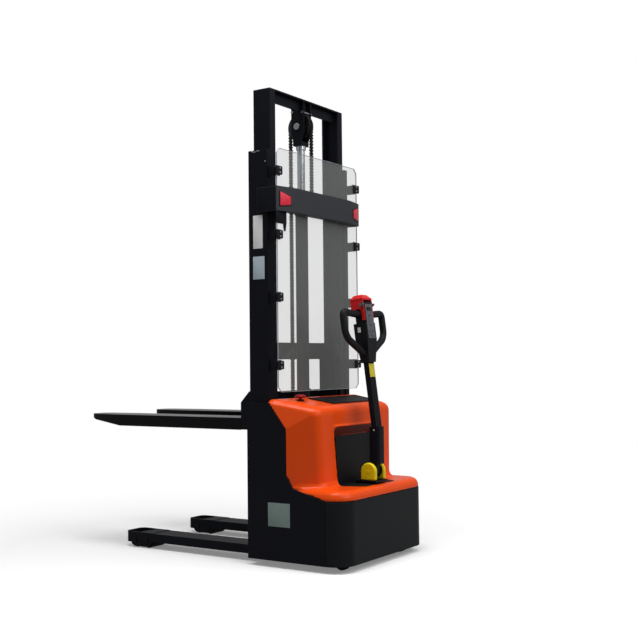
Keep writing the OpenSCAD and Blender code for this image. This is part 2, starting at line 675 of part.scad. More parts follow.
// Recess behind the tiller, with a sloping hood above its back panel
recess_back = body_rear + 30;
recess_top = shoulder_z + 8;
recess_low = ledge_top + slice;
hood_drop = 50;
hood_low = recess_top - hood_drop;
recess_top_half = 212;
recess_low_half = 192;
recess_r = 26;
recess_reach = 200;
function recess_outline(i) = rounded([
  [-recess_low_half + i, recess_low], [-recess_top_half + i, recess_top - i],
  [recess_top_half - i, recess_top - i], [recess_low_half - i, recess_low]], recess_r, 4);
module recess_prism(i, y) intersection() {
  translate([0, y, 0]) rotate([90, 0, 0]) linear_extrude(recess_reach) polygon(recess_outline(i));
  translate([-half_w, 0, 0]) along_x(chassis_w) polygon([
    [recess_back + 2 * cut, recess_low - cut], [recess_back + 2 * cut, hood_low], [recess_back, hood_low],
    [body_rear, recess_top], [body_rear - recess_reach, recess_top + cut], [body_rear - recess_reach, recess_low - cut]]);
}
module hood() translate([-recess_top_half, 0, 0]) along_x(2 * recess_top_half) polygon([
  [body_rear + body_lean + cut, recess_top + 2 * cover_wall], [body_rear, recess_top], [recess_back, hood_low],
  [recess_back + cover_wall, hood_low], [body_rear + body_lean + cover_wall, recess_top + 2 * cover_wall]]);

top_slope = atan2(top_fall, -crest_y - body_rear - body_lean - top_round);
turret_d = 90;
stop_x = -half_w + 150;
stop_y = -215;
stop_d = 36;
tray_x0 = -140;
tray_x1 = half_w - 100;
tray_front = -185;
tray_len = 150;
tray_rim = 10;
function top_at(y) = cover_top + (y + crest_y) * tan(top_slope);
module on_top() translate([0, tray_front, top_at(tray_front)]) rotate([top_slope, 0, 0]) children();
module body_cover() color(orange) placed() difference() {
  union() {
    difference() {
      union() {
        body_form(0);
        ledge_form(0);
        foot_form(0);
        foot_form(1);
      }
      body_form(cover_wall);
      ledge_form(cover_wall);
    }
    hood();
  }
  translate([0, 0, seam_rear - cut]) linear_extrude(2 * cut)
    polygon(concat(mirrored(ledge_plan(cover_wall)), ledge_plan(cover_wall)));
  recess_prism(0, recess_back + cut);
  both_sides() translate([half_w - plate_t - cut, 0, 0]) along_x(plate_t + 2 * cut)
    side_profile(seam_gap, cut, seam_rear - 20);
  translate([0, steer_y, ledge_top - 20]) cylinder(d = turret_d + 14, h = 40);
  translate([stop_x, stop_y, cover_top - 60]) cylinder(d = stop_d + 2 * seat_gap, h = 80);
}

// Black moulded back panel of the recess, with the floor plate the turret comes through
mat_t = 3;
mat_half = 134;
mat_rear = -chassis_len + 38;
panel_t = 4;
panel_wall = 3;
panel_reach = recess_back - body_rear - 2;
function panel_half(z) = recess_low_half + (z - recess_low) / (recess_top - recess_low)
  * (recess_top_half - recess_low_half);
function panel_outline(i) = let (low = panel_half(recess_low) - i, high = panel_half(hood_low) - i)
  [[-low, recess_low], [low, recess_low], [high, hood_low - seat_gap], [-high, hood_low - seat_gap]];
module recess_panel() color(charcoal) placed() difference() {
  union() {
    translate([0, recess_back, 0]) rotate([90, 0, 0]) linear_extrude(panel_reach) polygon(panel_outline(seat_gap));
    translate([0, 0, recess_low]) linear_extrude(mat_t)
      polygon([[-recess_low_half + 2, recess_back - 2], [-recess_low_half + 2, body_rear], [-mat_half, mat_rear],
               [mat_half, mat_rear], [recess_low_half - 2, body_rear], [recess_low_half - 2, recess_back - 2]]);
  }
  translate([0, recess_back - panel_t, recess_low + mat_t]) rotate([90, 0, 0]) linear_extrude(2 * panel_reach)
    polygon([for (q = panel_outline(panel_wall)) [q[0], q[1] - recess_low + (q[1] > recess_low ? cut : 0)]]);
  translate([0, steer_y, ledge_top - cut]) cylinder(d = turret_d + 12, h = 20);
}

// Storage tray on the cover and the emergency stop's base
module top_tray() color(charcoal) placed() on_top() difference() {
  block(tray_x0, tray_x1, -tray_len, 0, 0.2, 6);
  block(tray_x0 + tray_rim, tray_x1 - tray_rim, -tray_len + tray_rim, -tray_rim, 3, 7);
}
stop_base_top = top_at(stop_y) + 6;
stop_base_h = 46;
module stop_switch_base() color(rubber) placed() translate([stop_x, stop_y, 0]) difference() {
  translate([0, 0, stop_base_top - stop_base_h]) cylinder(d = stop_d, h = stop_base_h);
  translate([0, 0, stop_base_top - 20]) cylinder(d = 16 + 2 * run_fit, h = 30);
}
module stop_button() color(red) placed() translate([stop_x, stop_y, stop_base_top]) {
  translate([0, 0, -10]) cylinder(d = 16, h = 20);
  translate([0, 0, 8]) rotate_extrude() polygon([[0, 0], [22, 0], [28, 5], [28, 9], [20, 16], [0, 18]]);
}

// Power unit inside the cover
battery_low = bridge_z + bridge_t;
battery_in = 24;
battery_out = half_w - 100;
battery_len = 174;
battery_h = 205;
terminal_inset = 48;
module battery_pack() color("#2a2d33") placed() both_sides() {
  block(battery_in, battery_out, bulk_back - 6 - battery_len, bulk_back - 6, battery_low, battery_low + battery_h);
  for (x = [battery_in + terminal_inset, battery_out - terminal_inset])
    translate([x, bulk_back - terminal_inset, battery_low + battery_h]) cylinder(d = 18, h = 16);
}
power_low = shelf_z + shelf_t;
tank_out = shelf_half - 10;
tank_len = shelf_half - 80;
pump_len = 90;
pump_motor_d = 110;
pump_motor_len = 140;
module power_pack() color(dark_steel) placed() {
  tank_in = tank_out - tank_len;
  block(-tank_out, -tank_in, bulk_back - 160, bulk_back - 20, power_low, power_low + 140);
  block(-tank_in, pump_len - tank_in, bulk_back - 140, bulk_back - 20, power_low, power_low + 100);
  translate([pump_len - tank_in + pump_motor_len / 2, bulk_back - 80, power_low + pump_motor_d / 2])
    pin_across(pump_motor_d, pump_motor_len);
}
sink_w = shelf_half - 180;
sink_len = 160;
sink_base = 14;
fin_t = 8;
fin_pitch = 22;
fin_h = 46;
module motor_controller() color(steel) placed() translate([shelf_half - sink_w, bulk_back - 10 - sink_len, power_low]) {
  cube([sink_w, sink_len, sink_base]);
  for (i = [0 : 6]) translate([6, 10 + i * fin_pitch, sink_base]) cube([sink_w - 12, fin_t, fin_h]);
}

// Hydraulic hose from the cylinder's foot to the pump
hose_bend = 45;
hose_from = lift_y - tube_d / 2 - 2;
module hydraulic_hose() color(rubber) placed()
  planar_tube(rounded([[hose_from, hose_z], [hose_y, hose_z], [hose_y, power_low]], hose_bend), hose_d, 10);

// Steering head and tiller
pivot_y = steer_y - 50;
pivot_d = 20;
head_low = motor_top;
head_plate = ledge_top + 10;
head_plate_t = 8;
sleeve_wall = 2;
sleeve_half = tiller_w / 2 + sleeve_wall;
cheek_clear = 1;
cheek_gap = sleeve_half + cheek_clear;
cheek_w = 24;
cheek_r = 42;
knuckle_half = 16;
knuckle_r = 28;
module steer_head() color(paint) placed() {
  translate([0, steer_y, head_low]) cylinder(d = turret_d, h = head_plate - head_low);
  half = cheek_gap + cheek_w;
  block(-half, half, pivot_y - cheek_r - 6, steer_y + 20, head_plate, head_plate + head_plate_t);
}
module tiller_cheeks() color(yellow) placed() both_sides() difference() {
  low = head_plate + head_plate_t;
  translate([cheek_gap, 0, 0]) along_x(cheek_w) {
    translate([pivot_y, pivot_z]) circle(r = cheek_r);
    translate([pivot_y - cheek_r, low]) square([2 * cheek_r, pivot_z - low]);
  }
  block(cheek_gap - cut, cheek_gap + cheek_w + cut, pivot_y - cheek_r, pivot_y + cheek_r, low - cheek_r, low);
  translate([cheek_gap + cheek_w / 2, pivot_y, pivot_z]) pin_across(pivot_d, 2 * cheek_w);
}
module tiller_pin() color(steel) placed() translate([0, pivot_y, pivot_z])
  pin_across(pivot_d, 2 * (cheek_gap + cheek_w));

sleeve_low = pivot_z + 35;
sleeve_top = sleeve_low + 182;
sleeve_round = 12;
arm_y = pivot_y - 22;
shaft_len = 300;
neck_low = 18;
module leaning() translate([0, arm_y, sleeve_top]) rotate([-tiller_lean, 0, 0]) children();
module tiller_arm() color(charcoal) placed() {
  difference() {
    union() {
      translate([-knuckle_half, 0, 0]) along_x(2 * knuckle_half) {
        translate([pivot_y, pivot_z]) circle(r = knuckle_r);
        translate([pivot_y - knuckle_r, pivot_z]) square([2 * knuckle_r, sleeve_low - pivot_z + cut]);
      }
      translate([0, arm_y, sleeve_low]) linear_extrude(sleeve_top - sleeve_low)
        polygon(round_square(sleeve_half, sleeve_round));
      intersection() {
        leaning() block(-tiller_w / 2, tiller_w / 2, -tiller_t / 2, tiller_t / 2, -30, shaft_len + neck_low);
        block(-100, 100, arm_y - 200, arm_y + 200, sleeve_top - cut, sleeve_top + 2 * shaft_len);
      }
    }
    translate([0, pivot_y, pivot_z]) pin_across(pivot_d + 2 * run_fit, 4 * cheek_gap);
  }
}

// Control head on the end of the shaft, drawn along the shaft's own axis
module on_head() leaning() translate([0, 0, shaft_len]) children();
head_half_x = 45;
head_half_y = 38;
head_top = 318;
wing_z = 302;
wing_y = -27;
wing_pin_d = 10;
rocker_z = 225;
rocker_y = 7 - head_half_y;
rocker_pin_d = 4;
stem_low = head_top - 12;
belly_travel = 8;
belly_stem_d = 14;
core_low = 214;
core_half = head_half_x - 9;
core_front = 22;
module head_form() {
  hull() {
    neck_x = tiller_w / 2 + 6;
    neck_y = tiller_t / 2 + 9;
    block(-neck_x, neck_x, -neck_y, neck_y, neck_low, neck_low + 32);
    block(-head_half_x, head_half_x, -head_half_y, head_half_y - 8, 130, core_low);
    block(-head_half_x + 8, head_half_x - 8, -head_half_y + 5, head_half_y, 125, core_low);
  }
  block(-core_half, core_half, -head_half_y, core_front, core_low - 10, head_top);
}
module tiller_head() color(charcoal) placed() on_head() difference() {
  head_form();
  translate([0, wing_y, wing_z]) pin_across(wing_pin_d + 2 * run_fit, 4 * head_half_x);
  block(-12, 12, -head_half_y - cut, rocker_y + 7, rocker_z - 26, rocker_z + 26);
  translate([0, rocker_y, rocker_z]) pin_across(rocker_pin_d + 2 * run_fit, 36);
  translate([0, 0, stem_low - belly_travel - 2]) cylinder(d = belly_stem_d + 2 * run_fit, h = head_top);
}

// Looped handle: a bar out from the head, a grip down each side and a brace back to the neck
bar_z = 254;
grip_top = 270;
grip_low = 145;
brace_z = 44;
loop_top_r = 26;
loop_low_r = 44;
function loop_path(side) = let (top = rounded([[0, bar_z], [side, grip_top], [side, (grip_top + grip_low) / 2]], loop_top_r),
  low = rounded([[side, (grip_top + grip_low) / 2], [side, grip_low], [0, brace_z]], loop_low_r))
  concat(top, [for (i = [1 : len(low) - 1]) low[i]]);
module tiller_handle() color(charcoal) placed() on_head() difference() {
  both_sides() rotate([0, 0, -90]) planar_tube(loop_path(handle_half - grip_d / 2), grip_d, 16);
  head_form();
}
wing_gap = 1.5;
wing_w = 10;
wing_r = 9;
tab_r = 6;
tab_back = 10;
module throttle_wings() color(rubber) placed() on_head() translate([0, wing_y, wing_z]) {
  pin_across(wing_pin_d, 2 * (head_half_x + wing_gap + wing_w / 2));
  both_sides() translate([head_half_x + wing_gap, 0, 0]) along_x(wing_w) {
    circle(r = wing_r);
    translate([-tab_back, wing_r - tab_r]) circle(r = tab_r);
    translate([-tab_back, wing_r - 2 * tab_r]) square([tab_back, 2 * tab_r]);
  }
}

// Belly button: a cap on a stem, with a shell that wraps the sides of the head behind the handle's bar
shell_low = core_low + belly_travel + 4;
shell_rear = 2 - head_half_y;
shell_gap = 1.2;
bar_clear = 2;
bar_slot = grip_d / 2 + bar_clear;
bar_root = bar_z + (grip_top - bar_z) * head_half_x / (handle_half - grip_d / 2);
groove_d = 2.5;
groove_h = 4;
module belly_button() color(red) placed() on_head() {
  cap_low = head_top + belly_travel + 2;
  wing_slot = wing_pin_d / 2 + shell_gap;
  far = 2 * head_half_x;
  translate([0, 0, stem_low]) cylinder(d = belly_stem_d, h = cap_low + 8 - stem_low);
  difference() {
    hull() {
      block(-head_half_x + 3, head_half_x - 3, shell_rear, -bar_slot, shell_low, shell_low + 6);
      block(-head_half_x, head_half_x, shell_rear, head_half_y - 4, shell_low + 46, cap_low + 8);
      block(-head_half_x + 8, head_half_x - 8, shell_rear, head_half_y + 4, shell_low + 52, cap_low + 6);
      block(-head_half_x + 8, head_half_x - 8, -head_half_y + 8, head_half_y, cap_low, cap_low + 12);
      block(-head_half_x + 20, head_half_x - 20, -head_half_y + 18, head_half_y - 14, cap_low + 24, cap_low + 28);
    }
    block(-core_half - shell_gap, core_half + shell_gap, -far, core_front + shell_gap, shell_low - cut, cap_low);
    translate([0, 0, bar_root + belly_travel]) pin_across(2 * bar_slot, 2 * far);
    block(-far, far, -bar_slot, far, shell_low - cut, bar_root + belly_travel);
    for (z = [wing_z, wing_z + belly_travel]) translate([0, wing_y, z]) pin_across(2 * wing_slot, 2 * far);
    block(-far, far, wing_y - wing_slot, wing_y + wing_slot, wing_z, wing_z + belly_travel);
    both_sides() block(head_half_x - groove_d, far, -far, far, cap_low - groove_h / 2, cap_low + groove_h / 2);
  }
}
module lift_rocker() color("#8a8d92") placed() on_head() translate([0, rocker_y, rocker_z]) {
  pin_across(rocker_pin_d, 36);
  pin_across(10, 22);
  block(-11, 11, -10, -3, -23, 23);
}

side_plate_left();
side_plate_right();
rear_skirt();
bulkhead();
drive_bridge();
mast_foot();
leg_left();
leg_right();
load_axles();
outer_rail_left();
outer_rail_right();
mast_crossbeam();
guide_pads();
crossbeam_cover();
shield();
shield_posts();
lift_cylinder();
body_cover();
recess_panel();
top_tray();
stop_switch_base();
battery_pack();
power_pack();
motor_controller();
hydraulic_hose();
inner_rail_left();
inner_rail_right();
inner_crossbeams();
lift_rod();
chain_wheel_pin();
chain_wrap();
chain_rear();
chain_front();
chain_wheel();
mast_rollers();
carriage_frame();
fork_left();
fork_right();
carriage_rollers_lower();
carriage_rollers_upper();
drive_unit();
steer_head();
tiller_cheeks();
tiller_pin();
drive_wheel();
castor_fork_left();
castor_fork_right();
castor_wheel_left();
castor_wheel_right();
load_roller_left_front();
load_roller_left_rear();
load_roller_right_front();
load_roller_right_rear();
tiller_arm();
tiller_head();
tiller_handle();
throttle_wings();
belly_button();
lift_rocker();
stop_button();
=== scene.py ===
import json
import math

import bmesh
import bpy
from mathutils import Matrix, Vector


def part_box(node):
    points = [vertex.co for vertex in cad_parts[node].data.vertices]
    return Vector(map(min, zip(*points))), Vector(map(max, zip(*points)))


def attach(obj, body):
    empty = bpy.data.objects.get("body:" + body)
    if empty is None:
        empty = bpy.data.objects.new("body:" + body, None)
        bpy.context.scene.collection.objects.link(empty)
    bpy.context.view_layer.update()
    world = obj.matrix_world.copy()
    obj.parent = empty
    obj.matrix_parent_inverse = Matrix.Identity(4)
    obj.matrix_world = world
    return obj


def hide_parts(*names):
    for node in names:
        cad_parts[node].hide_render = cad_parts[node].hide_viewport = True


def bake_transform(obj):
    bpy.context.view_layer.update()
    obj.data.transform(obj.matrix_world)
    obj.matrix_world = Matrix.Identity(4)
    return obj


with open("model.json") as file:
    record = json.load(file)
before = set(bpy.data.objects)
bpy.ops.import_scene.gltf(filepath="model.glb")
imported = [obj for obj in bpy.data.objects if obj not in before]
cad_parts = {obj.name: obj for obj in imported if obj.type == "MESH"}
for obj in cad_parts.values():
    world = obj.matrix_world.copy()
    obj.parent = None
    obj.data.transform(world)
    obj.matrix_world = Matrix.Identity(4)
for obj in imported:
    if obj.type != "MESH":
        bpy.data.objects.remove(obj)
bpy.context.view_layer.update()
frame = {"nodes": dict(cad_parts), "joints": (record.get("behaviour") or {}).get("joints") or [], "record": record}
nodes = frame["nodes"]
joints = {joint["name"]: joint for joint in frame["joints"]}
print("frame loaded with", len(nodes), "nodes")

mm = 0.001

# Camera, at the photograph's viewing angle
cameraSetup = {
    "place": (-4.434, -3.398, 0.985), "yaw": -56.50, "pitch": 2.29, "roll": -0.586,
    "focalPixels": 1037.73, "imagePixels": 638, "sensor": 36.0,
}


def makeCamera(setup):
    yaw, pitch, roll = (math.radians(setup[name]) for name in ("yaw", "pitch", "roll"))
    level = math.cos(pitch)
    forward = Vector((-math.sin(yaw) * level, math.cos(yaw) * level, math.sin(pitch)))
    right = Vector((math.cos(yaw), math.sin(yaw), 0))
    up = right.cross(forward)
    across = right * math.cos(roll) + up * math.sin(roll)
    above = up * math.cos(roll) - right * math.sin(roll)
    turn = Matrix((across, above, -forward)).transposed().to_4x4()
    data = bpy.data.cameras.new("camera")
    data.sensor_width = setup["sensor"]
    data.lens = setup["focalPixels"] / setup["imagePixels"] * setup["sensor"]
    camera = bpy.data.objects.new("camera", data)
    camera.matrix_world = Matrix.Translation(setup["place"]) @ turn
    bpy.context.scene.collection.objects.link(camera)
    bpy.context.scene.camera = camera


makeCamera(cameraSetup)
bpy.context.scene.view_settings.view_transform = "Standard"
print("camera placed")


# Materials

def linear(code):
    parts = [int(code[i:i + 2], 16) / 255 for i in (1, 3, 5)]
    return tuple(c / 12.92 if c <= 0.04045 else ((c + 0.055) / 1.055) ** 2.4 for c in parts) + (1.0,)


def addNode(tree, kind, settings=None, links=None):
    node = tree.nodes.new(kind)
    for name, value in (settings or {}).items():
        if isinstance(name, int) or name in node.inputs:
            node.inputs[name].default_value = value
        else:
            setattr(node, name, value)
    for name, source in (links or {}).items():
        tree.links.new(source, node.inputs[name])
    return node


def perMm(size):
    return 1.0 / (size * mm)


def startMaterial(name, colour, roughness, **sockets):
    material = bpy.data.materials.new(name)
    material.use_nodes = True
    tree = material.node_tree
    shader = tree.nodes["Principled BSDF"]
    shader.inputs["Base Color"].default_value = linear(colour)
    shader.inputs["Roughness"].default_value = roughness
    for socket, value in sockets.items():
        shader.inputs[socket.replace("_", " ")].default_value = value
    place = addNode(tree, "ShaderNodeTexCoord").outputs["Object"]
    return material, tree, shader, place


def dress(tree, shader, place, dark, light, driftMm, low, high, height=None, depthMm=0.0):
    # Colour and gloss drift slowly across a surface, and a finer pattern gives it relief
    drift = addNode(tree, "ShaderNodeTexNoise", {"Scale": perMm(driftMm), "Detail": 4.0}, {"Vector": place})
    tint = addNode(tree, "ShaderNodeMix", {"data_type": "RGBA", 6: linear(dark), 7: linear(light)},
                   {0: drift.outputs[0]})
    gloss = addNode(tree, "ShaderNodeMapRange", {"To Min": low, "To Max": high}, {"Value": drift.outputs[0]})
    tree.links.new(tint.outputs[2], shader.inputs["Base Color"])
    tree.links.new(gloss.outputs[0], shader.inputs["Roughness"])
    if height is not None:
        bump = addNode(tree, "ShaderNodeBump", {"Strength": 1.0, "Distance": depthMm * mm}, {"Height": height})
        tree.links.new(bump.outputs[0], shader.inputs["Normal"])


def powderCoat(name, dark, light, gloss, shine=0.07):
    # Powder coat on steel: a satin skin with a faint orange peel of about 2 mm, drawn at 4 mm to show
    material, tree, shader, place = startMaterial(name, dark, gloss, Specular_IOR_Level=shine)
    peel = addNode(tree, "ShaderNodeTexNoise", {"Scale": perMm(4), "Detail": 2.0}, {"Vector": place})
    dress(tree, shader, place, dark, light, 180, gloss - 0.05, gloss + 0.08, peel.outputs[0], 0.05)
    return material


def mouldedGloss(name, dark, light, gloss):
    # Gloss injection moulding: even colour, sharp highlights and a slow ripple from shrinkage
    material, tree, shader, place = startMaterial(name, dark, gloss, Specular_IOR_Level=0.14,
                                                  Coat_Weight=0.08, Coat_Roughness=0.08)
    ripple = addNode(tree, "ShaderNodeTexNoise", {"Scale": perMm(60), "Detail": 1.0}, {"Vector": place})
    dress(tree, shader, place, dark, light, 260, gloss - 0.04, gloss + 0.06, ripple.outputs[0], 0.25)
    return material


def mouldedGrain(name, dark, light, gloss):
    # Spark-eroded ABS: matte, with a leathery grain of about 1 mm, drawn at 2 mm to show
    material, tree, shader, place = startMaterial(name, dark, gloss, Specular_IOR_Level=0.12)
    grain = addNode(tree, "ShaderNodeTexVoronoi", {"Scale": perMm(2)}, {"Vector": place})
    dress(tree, shader, place, dark, light, 90, gloss - 0.06, gloss + 0.06, grain.outputs["Distance"], 0.08)
    return material


def turnedSteel(name, dark, light, gloss):
    # Plated or turned steel: metallic, with fine rings left by the tool, drawn at 3 mm to show
    material, tree, shader, place = startMaterial(name, dark, gloss, Metallic=1.0)
    waveRate = 20  # the wave texture's own multiplier
    rings = addNode(tree, "ShaderNodeTexWave", {"Scale": perMm(3) / waveRate, "Distortion": 2.0,
                                                "bands_direction": "X"}, {"Vector": place})
    dress(tree, shader, place, dark, light, 40, gloss - 0.06, gloss + 0.12, rings.outputs["Color"], 0.03)
    return material


def castRubber(name, dark, light, gloss):
    # Cast polyurethane or rubber: dull, with dust in its pores
    material, tree, shader, place = startMaterial(name, dark, gloss, Specular_IOR_Level=0.15)
    pores = addNode(tree, "ShaderNodeTexNoise", {"Scale": perMm(3), "Detail": 6.0}, {"Vector": place})
    dress(tree, shader, place, dark, light, 25, gloss - 0.1, gloss + 0.05, pores.outputs[0], 0.2)
    return material


def clearSheet(name, tint, gloss):
    # Polycarbonate sheet: clear, with a faint grey part-opaque film that paints the room's reflection over the
    # whole sheet, and hairline wipe marks
    material, tree, shader, place = startMaterial(name, tint, gloss, IOR=1.586, Alpha=0.19)
    wipes = addNode(tree, "ShaderNodeTexNoise", {"Scale": perMm(120), "Detail": 5.0}, {"Vector": place})
    haze = addNode(tree, "ShaderNodeMapRange", {"To Min": gloss - 0.03, "To Max": gloss + 0.08},
                   {"Value": wipes.outputs[0]})
    tree.links.new(haze.outputs[0], shader.inputs["Roughness"])
    return material


def prismLens(name, dark, light):
    # Acrylic reflector: small corner prisms under a gloss face, drawn at 5 mm to show
    material, tree, shader, place = startMaterial(name, dark, 0.2, Specular_IOR_Level=0.2)
    cells = addNode(tree, "ShaderNodeTexVoronoi", {"Scale": perMm(5), "distance": "CHEBYCHEV"},
                    {"Vector": place}).outputs["Distance"]
    tint = addNode(tree, "ShaderNodeMix", {"data_type": "RGBA", 6: linear(light), 7: linear(dark)}, {0: cells})
    bump = addNode(tree, "ShaderNodeBump", {"Strength": 1.0, "Distance": 0.4 * mm}, {"Height": cells})
    tree.links.new(tint.outputs[2], shader.inputs["Base Color"])
    tree.links.new(bump.outputs[0], shader.inputs["Normal"])
    return material


def printedFoil(name, dark, light):
    # Self-adhesive foil: flat colour with a faint brushed sheen
    material, tree, shader, place = startMaterial(name, dark, 0.4)
    dress(tree, shader, place, dark, light, 12, 0.34, 0.5)
    return material


finishes = {
    "black_paint": powderCoat("satinBlackPowderCoat", "#0f1016", "#15161d", 0.42),
    "charcoal_paint": powderCoat("satinCharcoalPowderCoat", "#161819", "#1c1f21", 0.44),
    "orange_cover": mouldedGloss("glossOrangeAbs", "#e44806", "#ee500a", 0.28),
    "black_plastic": mouldedGrain("grainedBlackAbs", "#0e0f12", "#16171b", 0.5),
    # Grey at 19 % cover on the clear sheet: a painted reflection of the room
    "clear_sheet": clearSheet("clearPolycarbonatePaintedReflection", "#a9adab", 0.08),
    "zinc_steel": turnedSteel("zincPlatedSteel", "#8c8e90", "#a4a6a6", 0.34),
    "plated_rod": turnedSteel("hardChromedRod", "#a9aeb6", "#bfc4cb", 0.18),
    "cylinder_paint": powderCoat("greyCylinderPaint", "#1a1c20", "#24272c", 0.4),
    "chain_steel": turnedSteel("oiledChainSteel", "#2b2b2d", "#454546", 0.38),
    "wheel_tread": castRubber("blackPolyurethane", "#141416", "#232326", 0.6),
    "guide_nylon": mouldedGrain("blackGuideNylon", "#17181a", "#222326", 0.5),
    "yellow_plastic": mouldedGloss("yellowMouldedAbs", "#e2ca0a", "#eed61a", 0.34),
    "red_plastic": mouldedGloss("redMouldedAbs", "#bc1418", "#d42222", 0.26),
    "grey_plastic": mouldedGrain("greyMouldedAbs", "#6a6d72", "#7c7f84", 0.5),
    "battery_case": mouldedGrain("batteryCasePolypropylene", "#24272d", "#2e3138", 0.5),
    "heat_sink": turnedSteel("castAluminium", "#9a9c9e", "#b4b6b8", 0.42),
    "hose_rubber": castRubber("hoseRubber", "#101012", "#1a1a1c", 0.55),
}
reflectorRed = prismLens("redReflectorAcrylic", "#b41a2c", "#f0384e")
# Dark red on the recess hood's slope: painted shade over the orange cover
hoodPaintedShade = mouldedGrain("paintedShadeHoodSheet", "#4a1206", "#5c1a0a", 0.5)
# A lighter dark red for the bead under the hood sheet: painted shade with a painted highlight line
lipShadeAndHighlight = mouldedGloss("hoodLipPaintedShadeAndHighlight", "#6e2216", "#7e2c20", 0.3)
beamBlack = powderCoat("crossbeamCoverPaint", "#1c1e24", "#24262d", 0.5, 0.35)
forkBlack = powderCoat("glossForkPaint", "#08090c", "#0d0e12", 0.16, 0.09)
stopRed = mouldedGloss("stopButtonAbs", "#7e1016", "#8c1a20", 0.3)
plateWhite = printedFoil("whiteFoilPlate", "#e2e2e4", "#f2f2f2")
plateBlue = printedFoil("paleBlueFoilPlate", "#a8b8c4", "#bccad2")
plateGreen = printedFoil("greyGreenFoilPlate", "#6f8480", "#84968f")
plateYellow = printedFoil("yellowFoilPlate", "#c8b81c", "#d6c82c")
stripGrey = mouldedGrain("greyKeypadAbs", "#54565a", "#63656a", 0.5)
darkGlass = mouldedGloss("smokedDisplayWindow", "#0c1012", "#141a1c", 0.12)
# Light grey on the clear sheet's edge: a painted highlight where the edge catches light
edgeHighlightGrey = mouldedGloss("paintedHighlightSheetEdge", "#9aa0a6", "#b8bec6", 0.2)
print("materials made:", len(bpy.data.materials))


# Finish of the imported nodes: softened edges and smooth shading come from modifiers

finishing = {"weld": 0.01 * mm, "flatDegrees": 0.4, "nodeBevelDegrees": 28, "pieceBevelDegrees": 30,
             "bevelSteps": 3, "smoothDegrees": 38}
edgeMm = {
    "black_paint": 1.6, "charcoal_paint": 3.0, "orange_cover": 0.0, "black_plastic": 2.0, "clear_sheet": 0.8,
    "zinc_steel": 0.8, "plated_rod": 0.6, "cylinder_paint": 1.2, "chain_steel": 0.8, "wheel_tread": 2.5,
    "guide_nylon": 1.0, "yellow_plastic": 5.0, "red_plastic": 8.0, "grey_plastic": 1.2, "battery_case": 3.0,
    "heat_sink": 0.8, "hose_rubber": 0.0,
}
edgeMmByNode = {
    "fork_left": 3.0, "fork_right": 3.0, "tiller_head": 9.0, "tiller_handle": 0.0, "stop_button": 2.0,
    "throttle_wings": 2.0, "recess_panel": 1.0, "tiller_arm": 3.0, "belly_button": 6.0, "tiller_cheeks": 8.0,
}
finishByNode = {
    "crossbeam_cover": beamBlack, "load_axles": finishes["black_paint"], "throttle_wings": stripGrey,
    "lift_rocker": stripGrey, "fork_left": forkBlack, "fork_right": forkBlack, "stop_button": stopRed,
}
thinNodes = ("crossbeam_cover",)  # pressed sheet that the flattening step would lid over
moulded = {"body_cover": {"voxel": 3 * mm, "passes": 22, "flatDegrees": 1.0}}  # too finely faceted for a bevel


def makeSmoothing(limit):
    group = bpy.data.node_groups.new("smoothByAngle", "GeometryNodeTree")
    for way in ("INPUT", "OUTPUT"):
        group.interface.new_socket("Geometry", in_out=way, socket_type="NodeSocketGeometry")
    start = addNode(group, "NodeGroupInput")
    angle = addNode(group, "GeometryNodeInputMeshEdgeAngle")
    gentle = addNode(group, "FunctionNodeCompare", {"operation": "LESS_EQUAL", 1: math.radians(limit)},
                     {0: angle.outputs[0]})
    edges = addNode(group, "GeometryNodeSetShadeSmooth", {"domain": "EDGE"},
                    {"Geometry": start.outputs[0], "Shade Smooth": gentle.outputs[0]})
    faces = addNode(group, "GeometryNodeSetShadeSmooth", {"domain": "FACE"}, {"Geometry": edges.outputs[0]})
    addNode(group, "NodeGroupOutput", None, {0: faces.outputs[0]})
    return group


smoothing = makeSmoothing(finishing["smoothDegrees"])


def softenEdges(piece, widthMm, degrees):
    bevel = piece.modifiers.new("edge", "BEVEL")
    bevel.width = widthMm * mm
    bevel.segments = finishing["bevelSteps"]
    bevel.limit_method = "ANGLE"
    bevel.angle_limit = math.radians(degrees)


def finishNode(node, material, widthMm):
    node.data.materials.clear()
    node.data.materials.append(material)
    node.modifiers.new("weld", "WELD").merge_threshold = finishing["weld"]
    soft = moulded.get(node.name)
    if soft:
        # A voxel skin, relaxed a little, rounds every edge as a mould does
        skin = node.modifiers.new("skin", "REMESH")
        skin.mode = "VOXEL"
        skin.voxel_size = soft["voxel"]
        node.modifiers.new("relax", "SMOOTH").iterations = soft["passes"]
    if node.name not in thinNodes:
        flat = node.modifiers.new("flat", "DECIMATE")
        flat.decimate_type = "DISSOLVE"
        flat.angle_limit = math.radians((soft or finishing)["flatDegrees"])
    if widthMm:
        softenEdges(node, widthMm, finishing["nodeBevelDegrees"])
    node.modifiers.new("smooth", "NODES").node_group = smoothing
    node.modifiers.new("even", "WEIGHTED_NORMAL").keep_sharp = True


for part in frame["record"]["subparts"]:
    name, slotName = part["node"], part["material_slot"]
    finish = finishByNode.get(name, finishes[slotName])
    finishNode(nodes[name], finish, edgeMmByNode.get(name, edgeMm[slotName]))
print("nodes finished")


# Mesh helpers

def facing(origin, normal, up=(0, 0, 1)):
    # A frame whose local X and Y lie in a face and whose local Z leaves it
    normal = Vector(normal).normalized()
    side = Vector(up).cross(normal).normalized()
    rise = normal.cross(side)
    return Matrix.Translation(origin) @ Matrix((side, rise, normal)).transposed().to_4x4()


def circle(radius, steps):
    return [(radius * math.cos(a), radius * math.sin(a)) for a in (2 * math.pi * k / steps for k in range(steps))]


